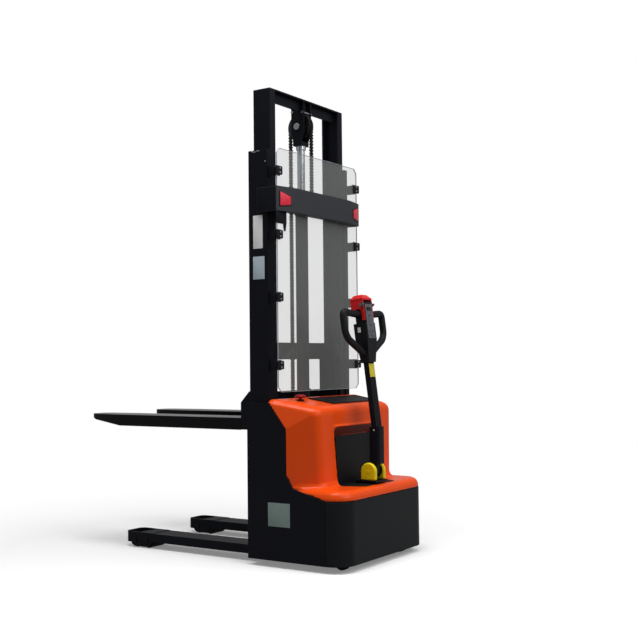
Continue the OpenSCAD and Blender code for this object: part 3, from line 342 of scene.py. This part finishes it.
def roundRect(width, height, radius, steps=5):
    points = []
    for cx, cy, start in ((1, 1, 0), (-1, 1, 90), (-1, -1, 180), (1, -1, 270)):
        for k in range(steps + 1):
            a = math.radians(start + 90 * k / steps)
            points.append((cx * (width / 2 - radius) + radius * math.cos(a),
                           cy * (height / 2 - radius) + radius * math.sin(a)))
    return points


def joinLoops(bm, first, second):
    for i in range(len(first)):
        k = (i + 1) % len(first)
        bm.faces.new((first[i], first[k], second[k], second[i]))


def addRings(bm, rings):
    # A skin over rings of points, closed at both ends
    loops = [[bm.verts.new(p) for p in ring] for ring in rings]
    for low, high in zip(loops, loops[1:]):
        joinLoops(bm, low, high)
    bm.faces.new(loops[0][::-1])
    bm.faces.new(loops[-1])


def addFrame(bm, rims):
    # A flat frame: the outer and inner rim of one face, then of the other
    loops = [[bm.verts.new(p) for p in rim] for rim in rims]
    for first, second in ((0, 1), (2, 3), (0, 2), (1, 3)):
        joinLoops(bm, loops[first], loops[second])


def addPrism(bm, outline, thickness, place):
    addRings(bm, [[place @ Vector((u, v, h)) for u, v in outline] for h in (0, thickness)])


def addLathe(bm, profile, place, steps=24):
    addRings(bm, [[place @ Vector((u, v, h)) for u, v in circle(r, steps)] for r, h in profile])


def addTube(bm, points, radius, steps=8):
    # A round wire along a list of points
    points = [Vector(p) for p in points]
    aside = Vector((0.3, 0.5, 0.8))  # no wire here runs along it
    rings = []
    for i, p in enumerate(points):
        along = (points[min(i + 1, len(points) - 1)] - points[max(i - 1, 0)]).normalized()
        side = along.cross(aside).normalized()
        rise = along.cross(side)
        rings.append([p + side * u + rise * v for u, v in circle(radius, steps)])
    addRings(bm, rings)


def makePiece(name, body, material, build, bevelMm=0.0, blendTo=None):
    bm = bmesh.new()
    build(bm)
    bmesh.ops.recalc_face_normals(bm, faces=bm.faces)
    mesh = bpy.data.meshes.new(name)
    bm.to_mesh(mesh)
    bm.free()
    mesh.materials.append(material)
    piece = bpy.data.objects.new(name, mesh)
    bpy.context.scene.collection.objects.link(piece)
    if bevelMm:
        softenEdges(piece, bevelMm, finishing["pieceBevelDegrees"])
    piece.modifiers.new("smooth", "NODES").node_group = smoothing
    if blendTo:
        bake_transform(piece)
    else:
        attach(piece, body)
    return piece


# Leaf chain: link plates threaded on pins, laced in turn

chain = {
    "plateT": 2.4 * mm, "plateR": 8.0 * mm, "waist": 2.6 * mm, "pinR": 2.8 * mm, "headR": 3.6 * mm,
    "headT": 1.2 * mm, "pinSteps": 10, "width": 20 * mm, "pitch": 16 * mm,
    "evenMm": (-8.1, -2.7, 2.7, 8.1), "oddMm": (-5.4, 0.0, 5.4),  # where the plates stand across the chain
}


def linkOutline(length):
    # Round ends about both pins, drawn in to a waist between them
    points = []
    for centre, start, waist in ((length, -90, chain["waist"]), (0, 90, -chain["waist"])):
        for k in range(7):
            a = math.radians(start + 30 * k)
            points.append((centre + chain["plateR"] * math.cos(a), chain["plateR"] * math.sin(a)))
        points.append((length / 2, waist))
    return points


def addChain(bm, route):
    across = Vector((1, 0, 0))
    for i, (a, b) in enumerate(zip(route, route[1:])):
        along = Vector((0, b[0] - a[0], b[1] - a[1]))
        ahead = along.normalized()
        turn = Matrix((ahead, across.cross(ahead), across)).transposed().to_4x4()
        for x in chain["evenMm"] if i % 2 == 0 else chain["oddMm"]:
            place = Matrix.Translation((x * mm - chain["plateT"] / 2, a[0], a[1])) @ turn
            addPrism(bm, linkOutline(along.length), chain["plateT"], place)
    headR, headT, pinR, width = (chain[name] for name in ("headR", "headT", "pinR", "width"))
    pin = [(headR, 0), (headR, headT), (pinR, headT), (pinR, width - headT), (headR, width - headT), (headR, width)]
    for y, z in route:
        addLathe(bm, pin, facing((-width / 2, y, z), across), chain["pinSteps"])


def strandRoute(node):
    low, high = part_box(node)
    y = (low.y + high.y) / 2
    links = round((high.z - low.z) / chain["pitch"])
    return [(y, low.z + (high.z - low.z) * i / links) for i in range(links + 1)]


for node, body in (("chain_front", "carriage"), ("chain_rear", "chassis")):
    route = strandRoute(node)
    ends = {"body": "inner_mast", "start": (0, *route[0]), "end": (0, *route[-1])}
    strand = makePiece(node + "_links", body, finishes["chain_steel"],
                       lambda bm: addChain(bm, route), 0, ends)
    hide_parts(node)

wheelPin = Vector(joints["chain_wheel_turn"]["pos_m"])
wheelR = strandRoute("chain_front")[0][0] - wheelPin.y
wrapLinks = round(math.pi * wheelR / chain["pitch"])
wrapRoute = [(wheelPin.y + wheelR * math.cos(a), wheelPin.z + wheelR * math.sin(a))
             for a in (math.pi * i / wrapLinks for i in range(wrapLinks + 1))]
wrap = makePiece("chain_wrap_links", "inner_mast", finishes["chain_steel"],
                 lambda bm: addChain(bm, wrapRoute))
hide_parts("chain_wrap")
print("chain laced")


# Guard sheet trim: a light grey frame on the sheet's edge, a painted highlight where the edge catches light, and
# the clips with the brackets that carry them

guard = {
    "edge": 1.2 * mm, "edgeProud": 0.3 * mm, "corner": 24 * mm, "clipHeights": (1.912, 1.60, 1.295, 0.965),
    "clipW": 0.05, "clipH": 0.042, "clipRound": 7 * mm, "clipIn": 11 * mm, "gap": 0.4 * mm,
    "frontT": 8.6 * mm, "backT": 6 * mm, "screwIn": 15 * mm, "screwUp": 11 * mm, "screwR": 5 * mm,
    "bracketT": 3 * mm, "bracketH": 0.05,
}
clipBridge = {"wide": 7 * mm, "tall": 30 * mm, "round": 2 * mm, "deep": 22 * mm, "out": 5 * mm, "back": 7 * mm}
guardLow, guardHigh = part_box("shield")
postLow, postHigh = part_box("shield_posts")
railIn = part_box("outer_rail_right")[0].x
rearward = (0, -1, 0)


def guardOutline(inset):
    # The cut corners keep their slope when the outline is drawn in
    c, x = guard["corner"] - inset * 0.41, guardHigh.x - inset
    z0, z1 = guardLow.z + inset, guardHigh.z - inset
    return [(-x + c, z0), (x - c, z0), (x, z0 + c), (x, z1 - c),
            (x - c, z1), (-x + c, z1), (-x, z1 - c), (-x, z0 + c)]


def addGuardEdge(bm):
    proud = guard["edgeProud"]
    addFrame(bm, [[(x, y, z) for x, z in guardOutline(inset)]
                  for y in (guardLow.y - proud, guardHigh.y + proud) for inset in (-proud, guard["edge"])])


def screwProfile(r):
    # Domed head with a round socket
    return [(r, 0), (r, 0.35 * r), (0.8 * r, 0.6 * r), (0.45 * r, 0.66 * r),
            (0.4 * r, 0.3 * r), (0.01 * r, 0.3 * r)]


def clipSpots():
    return [(side, z) for side in (-1, 1) for z in guard["clipHeights"]]


def addClips(bm):
    # Two pads that grip the sheet, bridged past its edge
    pads = ((guardLow.y - guard["gap"], guard["frontT"]),
            (guardHigh.y + guard["gap"] + guard["backT"], guard["backT"]))
    for side, z in clipSpots():
        x = side * (guardHigh.x - guard["clipIn"])
        for y, t in pads:
            addPrism(bm, roundRect(guard["clipW"], guard["clipH"], guard["clipRound"]), t,
                     facing((x, y, z), rearward))
        addPrism(bm, roundRect(clipBridge["wide"], clipBridge["tall"], clipBridge["round"]), clipBridge["deep"],
                 facing((side * (guardHigh.x + clipBridge["out"]), guardHigh.y + clipBridge["back"], z), rearward))


def addClipScrews(bm):
    y = guardLow.y - guard["gap"] - guard["frontT"]
    for side, z in clipSpots():
        for up in (-guard["screwUp"], guard["screwUp"]):
            addLathe(bm, screwProfile(guard["screwR"]),
                     facing((side * (guardHigh.x - guard["screwIn"]), y, z + up), rearward), 16)


def addBrackets(bm):
    # Bent from strip: a foot on the rail, an arm back to the sheet and a seat behind each clip
    t, arm = guard["bracketT"], postHigh.x - guard["bracketT"]
    bent = [(railIn, postHigh.y), (postHigh.x, postHigh.y), (postHigh.x, postLow.y), (railIn, postLow.y),
            (railIn, postLow.y + t), (arm, postLow.y + t), (arm, postHigh.y - t), (railIn, postHigh.y - t)]
    for side, z in clipSpots():
        addPrism(bm, [(side * x, y) for x, y in bent], guard["bracketH"],
                 Matrix.Translation((0, 0, z - guard["bracketH"] / 2)))


makePiece("guard_edge", "chassis", edgeHighlightGrey, addGuardEdge)
brackets = makePiece("guard_brackets", "chassis", finishes["black_paint"], addBrackets, 0.6)
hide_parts("shield_posts")
makePiece("guard_clips", "chassis", finishes["black_plastic"], addClips, 1.5)
makePiece("guard_clip_screws", "chassis", finishes["zinc_steel"], addClipScrews)
print("guard trimmed")


# Crossbeam cover: plates on its ends, a cable bracket below it and red reflectors on its swept facets

reflector = {
    "sweepX": 0.133, "sweepY": 0.028, "inset": 24 * mm, "length": 0.07, "tallEnd": 0.07, "shortEnd": 0.04,
    "drop": 6 * mm, "thick": 4 * mm, "off": 0.3 * mm, "bezel": 4 * mm, "bezelT": 2.5 * mm,
}
coverEnd = {"margin": 3 * mm, "round": 4 * mm, "thick": 0.8 * mm, "off": 0.1 * mm}
cable = {
    "wide": 0.086, "tall": 0.1, "thick": 4 * mm, "lap": 6 * mm, "out": 14 * mm, "off": 1 * mm,
    "shape": ((0, 0), (1, 0), (1, 0.6), (0.9, 1), (0.76, 1), (0.68, 0.66), (0, 0.66)),  # shares of wide and tall
}
trimLow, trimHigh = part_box("crossbeam_cover")
trimMiddle = (trimLow.z + trimHigh.z) / 2


def addReflector(bm, side, grow, thick):
    # The facet runs from the cover's flat middle out and forward to its end
    run = Vector((side * reflector["sweepX"], reflector["sweepY"], 0)).normalized()
    normal = Vector((side * run.y, -abs(run.x), 0)).normalized()
    outer = Vector((side * trimHigh.x, trimLow.y + reflector["sweepY"], trimMiddle))
    centre = outer - run * (reflector["inset"] + reflector["length"] / 2)
    half = reflector["length"] / 2 + grow
    tall, short = reflector["tallEnd"] / 2 + grow, reflector["shortEnd"] / 2 + grow
    drop = reflector["drop"]
    outline = [(-half, -tall), (half, -short - drop), (half, short - drop), (-half, tall)]
    if side > 0:
        outline = [(-u, v) for u, v in outline][::-1]
    addPrism(bm, outline, thick, facing(centre + normal * reflector["off"], normal))


def addCoverEnds(bm):
    margin = coverEnd["margin"]
    depth = trimHigh.y - trimLow.y - reflector["sweepY"] - 2 * margin
    tall = trimHigh.z - trimLow.z - 2 * margin
    for side in (-1, 1):
        middle = (side * (trimHigh.x + coverEnd["off"]), trimHigh.y - depth / 2 - margin, trimMiddle)
        addPrism(bm, roundRect(depth, tall, coverEnd["round"]), coverEnd["thick"], facing(middle, (side, 0, 0)))


def addCableBracket(bm):
    # Hangs from the crossbeam at the sheet's left edge
    corner = Vector((-guardHigh.x - cable["out"], guardLow.y - cable["off"], trimLow.z + cable["lap"]))
    addPrism(bm, [(u * cable["wide"], -v * cable["tall"]) for u, v in cable["shape"]], cable["thick"],
             facing(corner, rearward))


makePiece("cover_end_plates", "chassis", finishes["black_paint"], addCoverEnds, 0.3)
makePiece("cable_bracket", "chassis", finishes["black_paint"], addCableBracket, 1.0)
for side, word in ((-1, "left"), (1, "right")):
    makePiece(f"reflector_bezel_{word}", "chassis", finishes["black_plastic"],
              lambda bm: addReflector(bm, side, reflector["bezel"], reflector["bezelT"]), 1.0)
    makePiece(f"reflector_{word}", "chassis", reflectorRed,
              lambda bm: addReflector(bm, side, 0, reflector["thick"]), 1.0)
print("crossbeam cover trimmed")


# Plain plates on the left side, left blank

leftward = (-1, 0, 0)
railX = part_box("outer_rail_left")[0].x
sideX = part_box("side_plate_left")[0].x
foilPlate = {"round": 3 * mm, "thick": 0.8 * mm, "off": 0.2 * mm, "edgeMm": 0.3}
plates = {
    "mast_strip": {"at": (railX, -0.354, 1.618), "size": (0.058, 0.164), "foil": plateWhite},
    "mast_plate": {"at": (railX, -0.358, 1.441), "size": (0.070, 0.112), "foil": plateBlue},
    "chassis_plate": {"at": (sideX, -0.488, 0.252), "size": (0.128, 0.113), "foil": plateGreen},
}


def addPlate(bm, plate):
    addPrism(bm, roundRect(*plate["size"], foilPlate["round"]), foilPlate["thick"],
             facing(Vector(plate["at"]) + Vector(leftward) * foilPlate["off"], leftward))


for name, plate in plates.items():
    makePiece(name, "chassis", plate["foil"], lambda bm: addPlate(bm, plate), foilPlate["edgeMm"])
print("plates fixed")


# Tiller head details, placed along the shaft's own axis

head = {
    "pinBack": 0.027, "pinUp": 0.302, "faceY": -0.038, "off": 0.2 * mm, "rocker": (0.0125, 0.199, 0.251),
    "stripHalf": 0.034, "stripLow": 0.135, "stripTop": 0.306, "stripT": 1.6 * mm,
    "buttons": ((-0.016, 0.176), (0.016, 0.176), (0.0, 0.153)),
    "buttonMm": ((8, 0), (8, 2.4), (7, 3.6), (4, 3.2), (0.1, 3)),  # turned profile, dished at the top
}
stripY = head["faceY"] - head["stripT"]
headPlates = {
    "charge_display": {"finish": darkGlass, "slot": "black_plastic", "at": (0, stripY - head["off"], 0.282),
                       "normal": rearward, "size": (0.046, 0.018, 3 * mm), "thick": 1.2 * mm, "edgeMm": 0.4},
    "head_plate": {"finish": plateWhite, "slot": "grey_plastic", "at": (-0.0452, 0.004, 0.181),
                   "normal": leftward, "size": (0.018, 0.026, 2 * mm), "thick": 0.6 * mm, "edgeMm": 0.2},
    "shaft_label": {"finish": plateYellow, "slot": "yellow_plastic", "at": (0, -0.0142, -0.022),
                    "normal": rearward, "size": (0.05, 0.066, 2 * mm), "thick": 0.4 * mm, "edgeMm": 0.1},
}
leanBack = Vector(joints["belly_press"]["axis"])
throttlePin = Vector(joints["throttle_turn"]["pos_m"])
headFrame = (Matrix.Translation(throttlePin) @ Matrix.Rotation(-abs(math.asin(leanBack.y)), 4, "X")
             @ Matrix.Translation((0, head["pinBack"], -head["pinUp"])))


def onHead(x, y, z, normal=rearward):
    return headFrame @ facing((x, y, z), normal)


def addKeypad(bm):
    # A foil frame round the rocker
    inner, low, high = head["rocker"]
    outer, base, top = head["stripHalf"], head["stripLow"], head["stripTop"]
    place = onHead(0, head["faceY"] - head["off"], 0)
    addFrame(bm, [[place @ Vector((u, v, t)) for u, v in ((-w, z0), (w, z0), (w, z1), (-w, z1))]
                  for t in (0, head["stripT"]) for w, z0, z1 in ((outer, base, top), (inner, low, high))])


def addButtons(bm):
    for x, z in head["buttons"]:
        addLathe(bm, [(r * mm, h * mm) for r, h in head["buttonMm"]], onHead(x, stripY, z))


def addHeadPlate(bm, plate):
    addPrism(bm, roundRect(*plate["size"]), plate["thick"], onHead(*plate["at"], plate["normal"]))


makePiece("keypad", "tiller", stripGrey, addKeypad)
makePiece("keypad_buttons", "tiller", stripGrey, addButtons)
for name, plate in headPlates.items():
    makePiece(name, "tiller", plate["finish"], lambda bm: addHeadPlate(bm, plate), plate["edgeMm"])
print("tiller head dressed")


# Tiller foot: caps, washers and return springs about the pin, and a screw each side of the sleeve

foot = {
    "coilR": 20 * mm, "wireR": 2.2 * mm, "coilX": (18.5 * mm, 26.5 * mm), "turns": 2.5, "turnSteps": 16,
    "leg": 26 * mm, "sleeveBack": 22 * mm, "screwUp": 0.2, "screwR": 5 * mm, "capR": 15 * mm, "capT": 1 * mm,
    "capSink": 0.4 * mm, "washerR": 33 * mm, "washerRim": 1.4 * mm, "washerT": 1.8 * mm, "cheekIn": 30.2 * mm,
}
tiltPin = Vector(joints["tiller_tilt"]["pos_m"])
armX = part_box("tiller_arm")[1].x
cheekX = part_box("tiller_cheeks")[1].x


def addPinCaps(bm):
    r, t = foot["capR"], foot["capT"]
    for side in (-1, 1):
        addLathe(bm, [(r, 0), (r, 0.6 * t), (0.9 * r, 0.9 * t), (0.1 * mm, t)],
                 facing(tiltPin + Vector((side * (cheekX - foot["capSink"]), 0, 0)), (side, 0, 0)), 32)


def addThrustWashers(bm):
    r, t = foot["washerR"], foot["washerT"]
    for side in (-1, 1):
        addLathe(bm, [(r, 0), (r, foot["washerRim"]), (0.9 * r, t), (0.3 * r, t)],
                 facing(tiltPin + Vector((side * foot["cheekIn"], 0, 0)), (-side, 0, 0)), 32)


def addSprings(bm):
    steps = int(foot["turns"] * foot["turnSteps"])
    near, far = foot["coilX"]
    leg = Vector((0, foot["leg"], 0))
    for side in (-1, 1):
        coil = []
        for k in range(steps + 1):
            a = 2 * math.pi * foot["turns"] * k / steps + math.pi / 2
            x = near + (far - near) * k / steps
            coil.append(tiltPin + Vector((side * x, foot["coilR"] * math.cos(a), foot["coilR"] * math.sin(a))))
        addTube(bm, [coil[0] + leg, *coil, coil[-1] - leg], foot["wireR"])


def addSleeveScrews(bm):
    for side in (-1, 1):
        addLathe(bm, screwProfile(foot["screwR"]),
                 facing(tiltPin + Vector((side * armX, -foot["sleeveBack"], foot["screwUp"])), (side, 0, 0)), 16)


makePiece("pivot_caps", "steering", finishes["yellow_plastic"], addPinCaps)
makePiece("thrust_washers", "steering", finishes["black_plastic"], addThrustWashers)
makePiece("tiller_springs", "steering", finishes["zinc_steel"], addSprings)
makePiece("sleeve_screws", "tiller", finishes["zinc_steel"], addSleeveScrews)
print("tiller foot dressed")


# Recess hood: a dark red sheet on its slope, painted shade over the orange, and a bead along the lower edge in a
# lighter red, painted shade with a painted highlight

hood = {
    "depth": 30 * mm, "drop": 50 * mm, "halfLow": 0.206, "halfTop": 0.210, "corner": 24 * mm, "off": 0.5 * mm,
    "thick": 0.5 * mm, "startUp": 1 * mm, "endShort": 3 * mm, "lipHalf": 0.13, "lipR": 4 * mm, "lipSteps": 10,
}
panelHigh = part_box("recess_panel")[1]


def addHoodShadeSheet(bm):
    # A dark red sheet of painted shade: lies on the slope between the panel's top and the rear face, with the
    # recess's rounded top corners
    slope = Vector((0, -hood["depth"], hood["drop"]))
    normal = Vector((0, -hood["drop"], -hood["depth"])).normalized()
    tall, r = slope.length - hood["endShort"], hood["corner"]
    corner = [(hood["halfTop"] - r + r * math.cos(a), tall - r + r * math.sin(a))
              for a in (math.radians(15 * k) for k in range(7))]
    right = [(hood["halfLow"], hood["startUp"]), *corner]
    outline = right + [(-u, v) for u, v in right[::-1]]
    addPrism(bm, outline, hood["thick"],
             facing(Vector((0, panelHigh.y, panelHigh.z)) + normal * hood["off"], normal))


def addHoodLip(bm):
    # Straight for most of its length, then sinking into the painted-shade sheet at both ends
    half, r, steps = hood["lipHalf"], hood["lipR"], hood["lipSteps"]
    points = [(half * s, panelHigh.y - r + 2 * r * s ** 8, panelHigh.z + r * (1 - s ** 6))
              for s in (k / steps for k in range(-steps, steps + 1))]
    addTube(bm, points, r)


makePiece("hood_painted_shade_sheet", "chassis", hoodPaintedShade, addHoodShadeSheet)
makePiece("hood_lip", "chassis", lipShadeAndHighlight, addHoodLip)
print("recess hood lined")


# Mast hardware: chain keepers by the wheel, caps on the inner rails, and a screw and wavy clip on each outer rail

mast = {
    "keepers": ((-0.034, 0.072), (0.028, 0.076)), "keeperR": 5 * mm, "keeperHalf": 35 * mm, "keeperHead": 8 * mm,
    "keeperHeadT": 6 * mm, "screwR": 3.5 * mm, "screwDown": 0.06, "screwIn": 0.012, "clipR": 2 * mm,
    "clipOut": 1.2 * mm, "clipIn": 0.045, "clipDown": 7 * mm, "clipStep": 6 * mm, "clipPoints": 9,
    "clipTurn": 0.9, "clipWave": 2.5 * mm, "capT": 5 * mm, "capSide": 2 * mm, "capEnd": 4 * mm,
    "capRound": 2 * mm, "capDown": 0.3 * mm,
}


def addKeepers(bm):
    half = mast["keeperHalf"]
    for y, z in mast["keepers"]:
        at = wheelPin + Vector((0, y, z))
        addLathe(bm, [(mast["keeperR"], 0), (mast["keeperR"], 2 * half)],
                 facing(at - Vector((half, 0, 0)), (1, 0, 0)), 12)
        for side in (-1, 1):
            addPrism(bm, circle(mast["keeperHead"], 6), mast["keeperHeadT"],
                     facing(at + Vector((side * half, 0, 0)), (side, 0, 0)))


def addRailCaps(bm):
    # Plates welded in the open tops of the inner rails
    for node in ("inner_rail_left", "inner_rail_right"):
        low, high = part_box(node)
        middle = (low + high) / 2
        wide, deep = high.x - low.x - mast["capSide"], high.y - low.y - mast["capEnd"]
        addPrism(bm, roundRect(wide, deep, mast["capRound"]), mast["capT"],
                 Matrix.Translation((middle.x, middle.y, high.z - mast["capT"] - mast["capDown"])))


def addRailScrews(bm):
    for node, side in (("outer_rail_left", -1), ("outer_rail_right", 1)):
        low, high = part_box(node)
        x = side * max(abs(low.x), abs(high.x))
        addLathe(bm, screwProfile(mast["screwR"]),
                 facing((x, low.y + mast["screwIn"], high.z - mast["screwDown"]), (side, 0, 0)), 16)
        # The guide pad's clip
        addTube(bm, [(x + side * mast["clipOut"], low.y + mast["clipIn"] + mast["clipStep"] * k,
                      high.z - mast["clipDown"] + mast["clipWave"] * math.sin(k * mast["clipTurn"]))
                     for k in range(mast["clipPoints"])], mast["clipR"])


makePiece("chain_keepers", "inner_mast", finishes["zinc_steel"], addKeepers)
makePiece("rail_caps", "inner_mast", finishes["black_paint"], addRailCaps, 0.6)
makePiece("rail_screws", "chassis", finishes["zinc_steel"], addRailScrews)
print("mast hardware fitted")


# Studio: pale floor, white surround and soft boxes

studio = {
    "floorSize": 60, "floorTint": "#f6f6f6", "bouncedTint": "#7c7c7c", "nearShare": 0.15, "nearGlow": 1.4,
    "fadeStart": 1.3, "fadeEnd": 3.2, "ambient": 0.18, "mirrored": 0.4,
}
lights = {
    "rearKey": {"at": (0.3, -4.4, 4.6), "aim": (0, -0.3, 0.9), "size": 6.4, "watts": 215},
    "overhead": {"at": (-1.2, -0.6, 5.8), "aim": (-0.2, -0.3, 0.8), "size": 3.4, "watts": 235},
    "leftFill": {"at": (-5.2, 0.8, 2.4), "aim": (0, 0, 1.0), "size": 3.0, "watts": 6},
}


def seenDirectly(tree):
    # One for rays that show the surround, straight or through the clear sheet, and less for mirrored ones
    path = addNode(tree, "ShaderNodeLightPath")
    mirrored = addNode(tree, "ShaderNodeMath", {"operation": "MULTIPLY", 1: studio["mirrored"]},
                       {0: path.outputs["Is Glossy Ray"]})
    through = addNode(tree, "ShaderNodeMath", {"operation": "MAXIMUM"},
                      {0: mirrored.outputs[0], 1: path.outputs["Is Transmission Ray"]})
    return addNode(tree, "ShaderNodeMath", {"operation": "MAXIMUM"},
                   {0: through.outputs[0], 1: path.outputs["Is Camera Ray"]}).outputs[0]


def makeFloor():
    half = studio["floorSize"] / 2
    mesh = bpy.data.meshes.new("floor")
    mesh.from_pydata([(-half, -half, 0), (half, -half, 0), (half, half, 0), (-half, half, 0)], [], [(0, 1, 2, 3)])
    floor = bpy.data.objects.new("floor", mesh)
    bpy.context.scene.collection.objects.link(floor)
    material = bpy.data.materials.new("paleStudioFloor")
    material.use_nodes = True
    tree = material.node_tree
    tree.nodes.clear()
    place = addNode(tree, "ShaderNodeTexCoord").outputs["Object"]
    away = addNode(tree, "ShaderNodeVectorMath", {"operation": "LENGTH"}, {0: place}).outputs["Value"]
    # Near the truck the floor takes its shadow, and far from it the floor fades into the white surround
    share, bright = (addNode(tree, "ShaderNodeMapRange",
                             {"From Min": studio["fadeStart"], "From Max": studio["fadeEnd"],
                              "To Min": studio[near], "To Max": 1.0}, {"Value": away}).outputs[0]
                     for near in ("nearShare", "nearGlow"))
    seen = seenDirectly(tree)
    glowing = addNode(tree, "ShaderNodeMath", {"operation": "MULTIPLY"}, {0: share, 1: seen})
    # Darker in bounced light, so that the sides of the truck stay deep
    tint = addNode(tree, "ShaderNodeMix", {"data_type": "RGBA", 6: linear(studio["bouncedTint"]),
                                           7: linear(studio["floorTint"])}, {0: seen})
    diffuse = addNode(tree, "ShaderNodeBsdfDiffuse", None, {"Color": tint.outputs[2]})
    glow = addNode(tree, "ShaderNodeEmission", {"Color": (1, 1, 1, 1)}, {"Strength": bright})
    mix = addNode(tree, "ShaderNodeMixShader", None,
                  {0: glowing.outputs[0], 1: diffuse.outputs[0], 2: glow.outputs[0]})
    addNode(tree, "ShaderNodeOutputMaterial", None, {"Surface": mix.outputs[0]})
    mesh.materials.append(material)


def makeWorld():
    world = bpy.data.worlds.new("whiteSurround")
    world.use_nodes = True
    tree = world.node_tree
    strength = addNode(tree, "ShaderNodeMath", {"operation": "MAXIMUM", 1: studio["ambient"]},
                       {0: seenDirectly(tree)})
    back = tree.nodes["Background"]
    back.inputs["Color"].default_value = (1, 1, 1, 1)
    tree.links.new(strength.outputs[0], back.inputs["Strength"])
    bpy.context.scene.world = world


def makeLight(name, setup):
    data = bpy.data.lights.new(name, "AREA")
    data.shape = "DISK"
    data.size = setup["size"]
    data.energy = setup["watts"]
    lamp = bpy.data.objects.new(name, data)
    lamp.visible_camera = False
    lamp.location = setup["at"]
    lamp.rotation_mode = "QUATERNION"
    lamp.rotation_quaternion = (Vector(setup["aim"]) - Vector(setup["at"])).to_track_quat("-Z", "Y")
    bpy.context.scene.collection.objects.link(lamp)


makeFloor()
makeWorld()
for name, setup in lights.items():
    makeLight(name, setup)
print("studio lit")
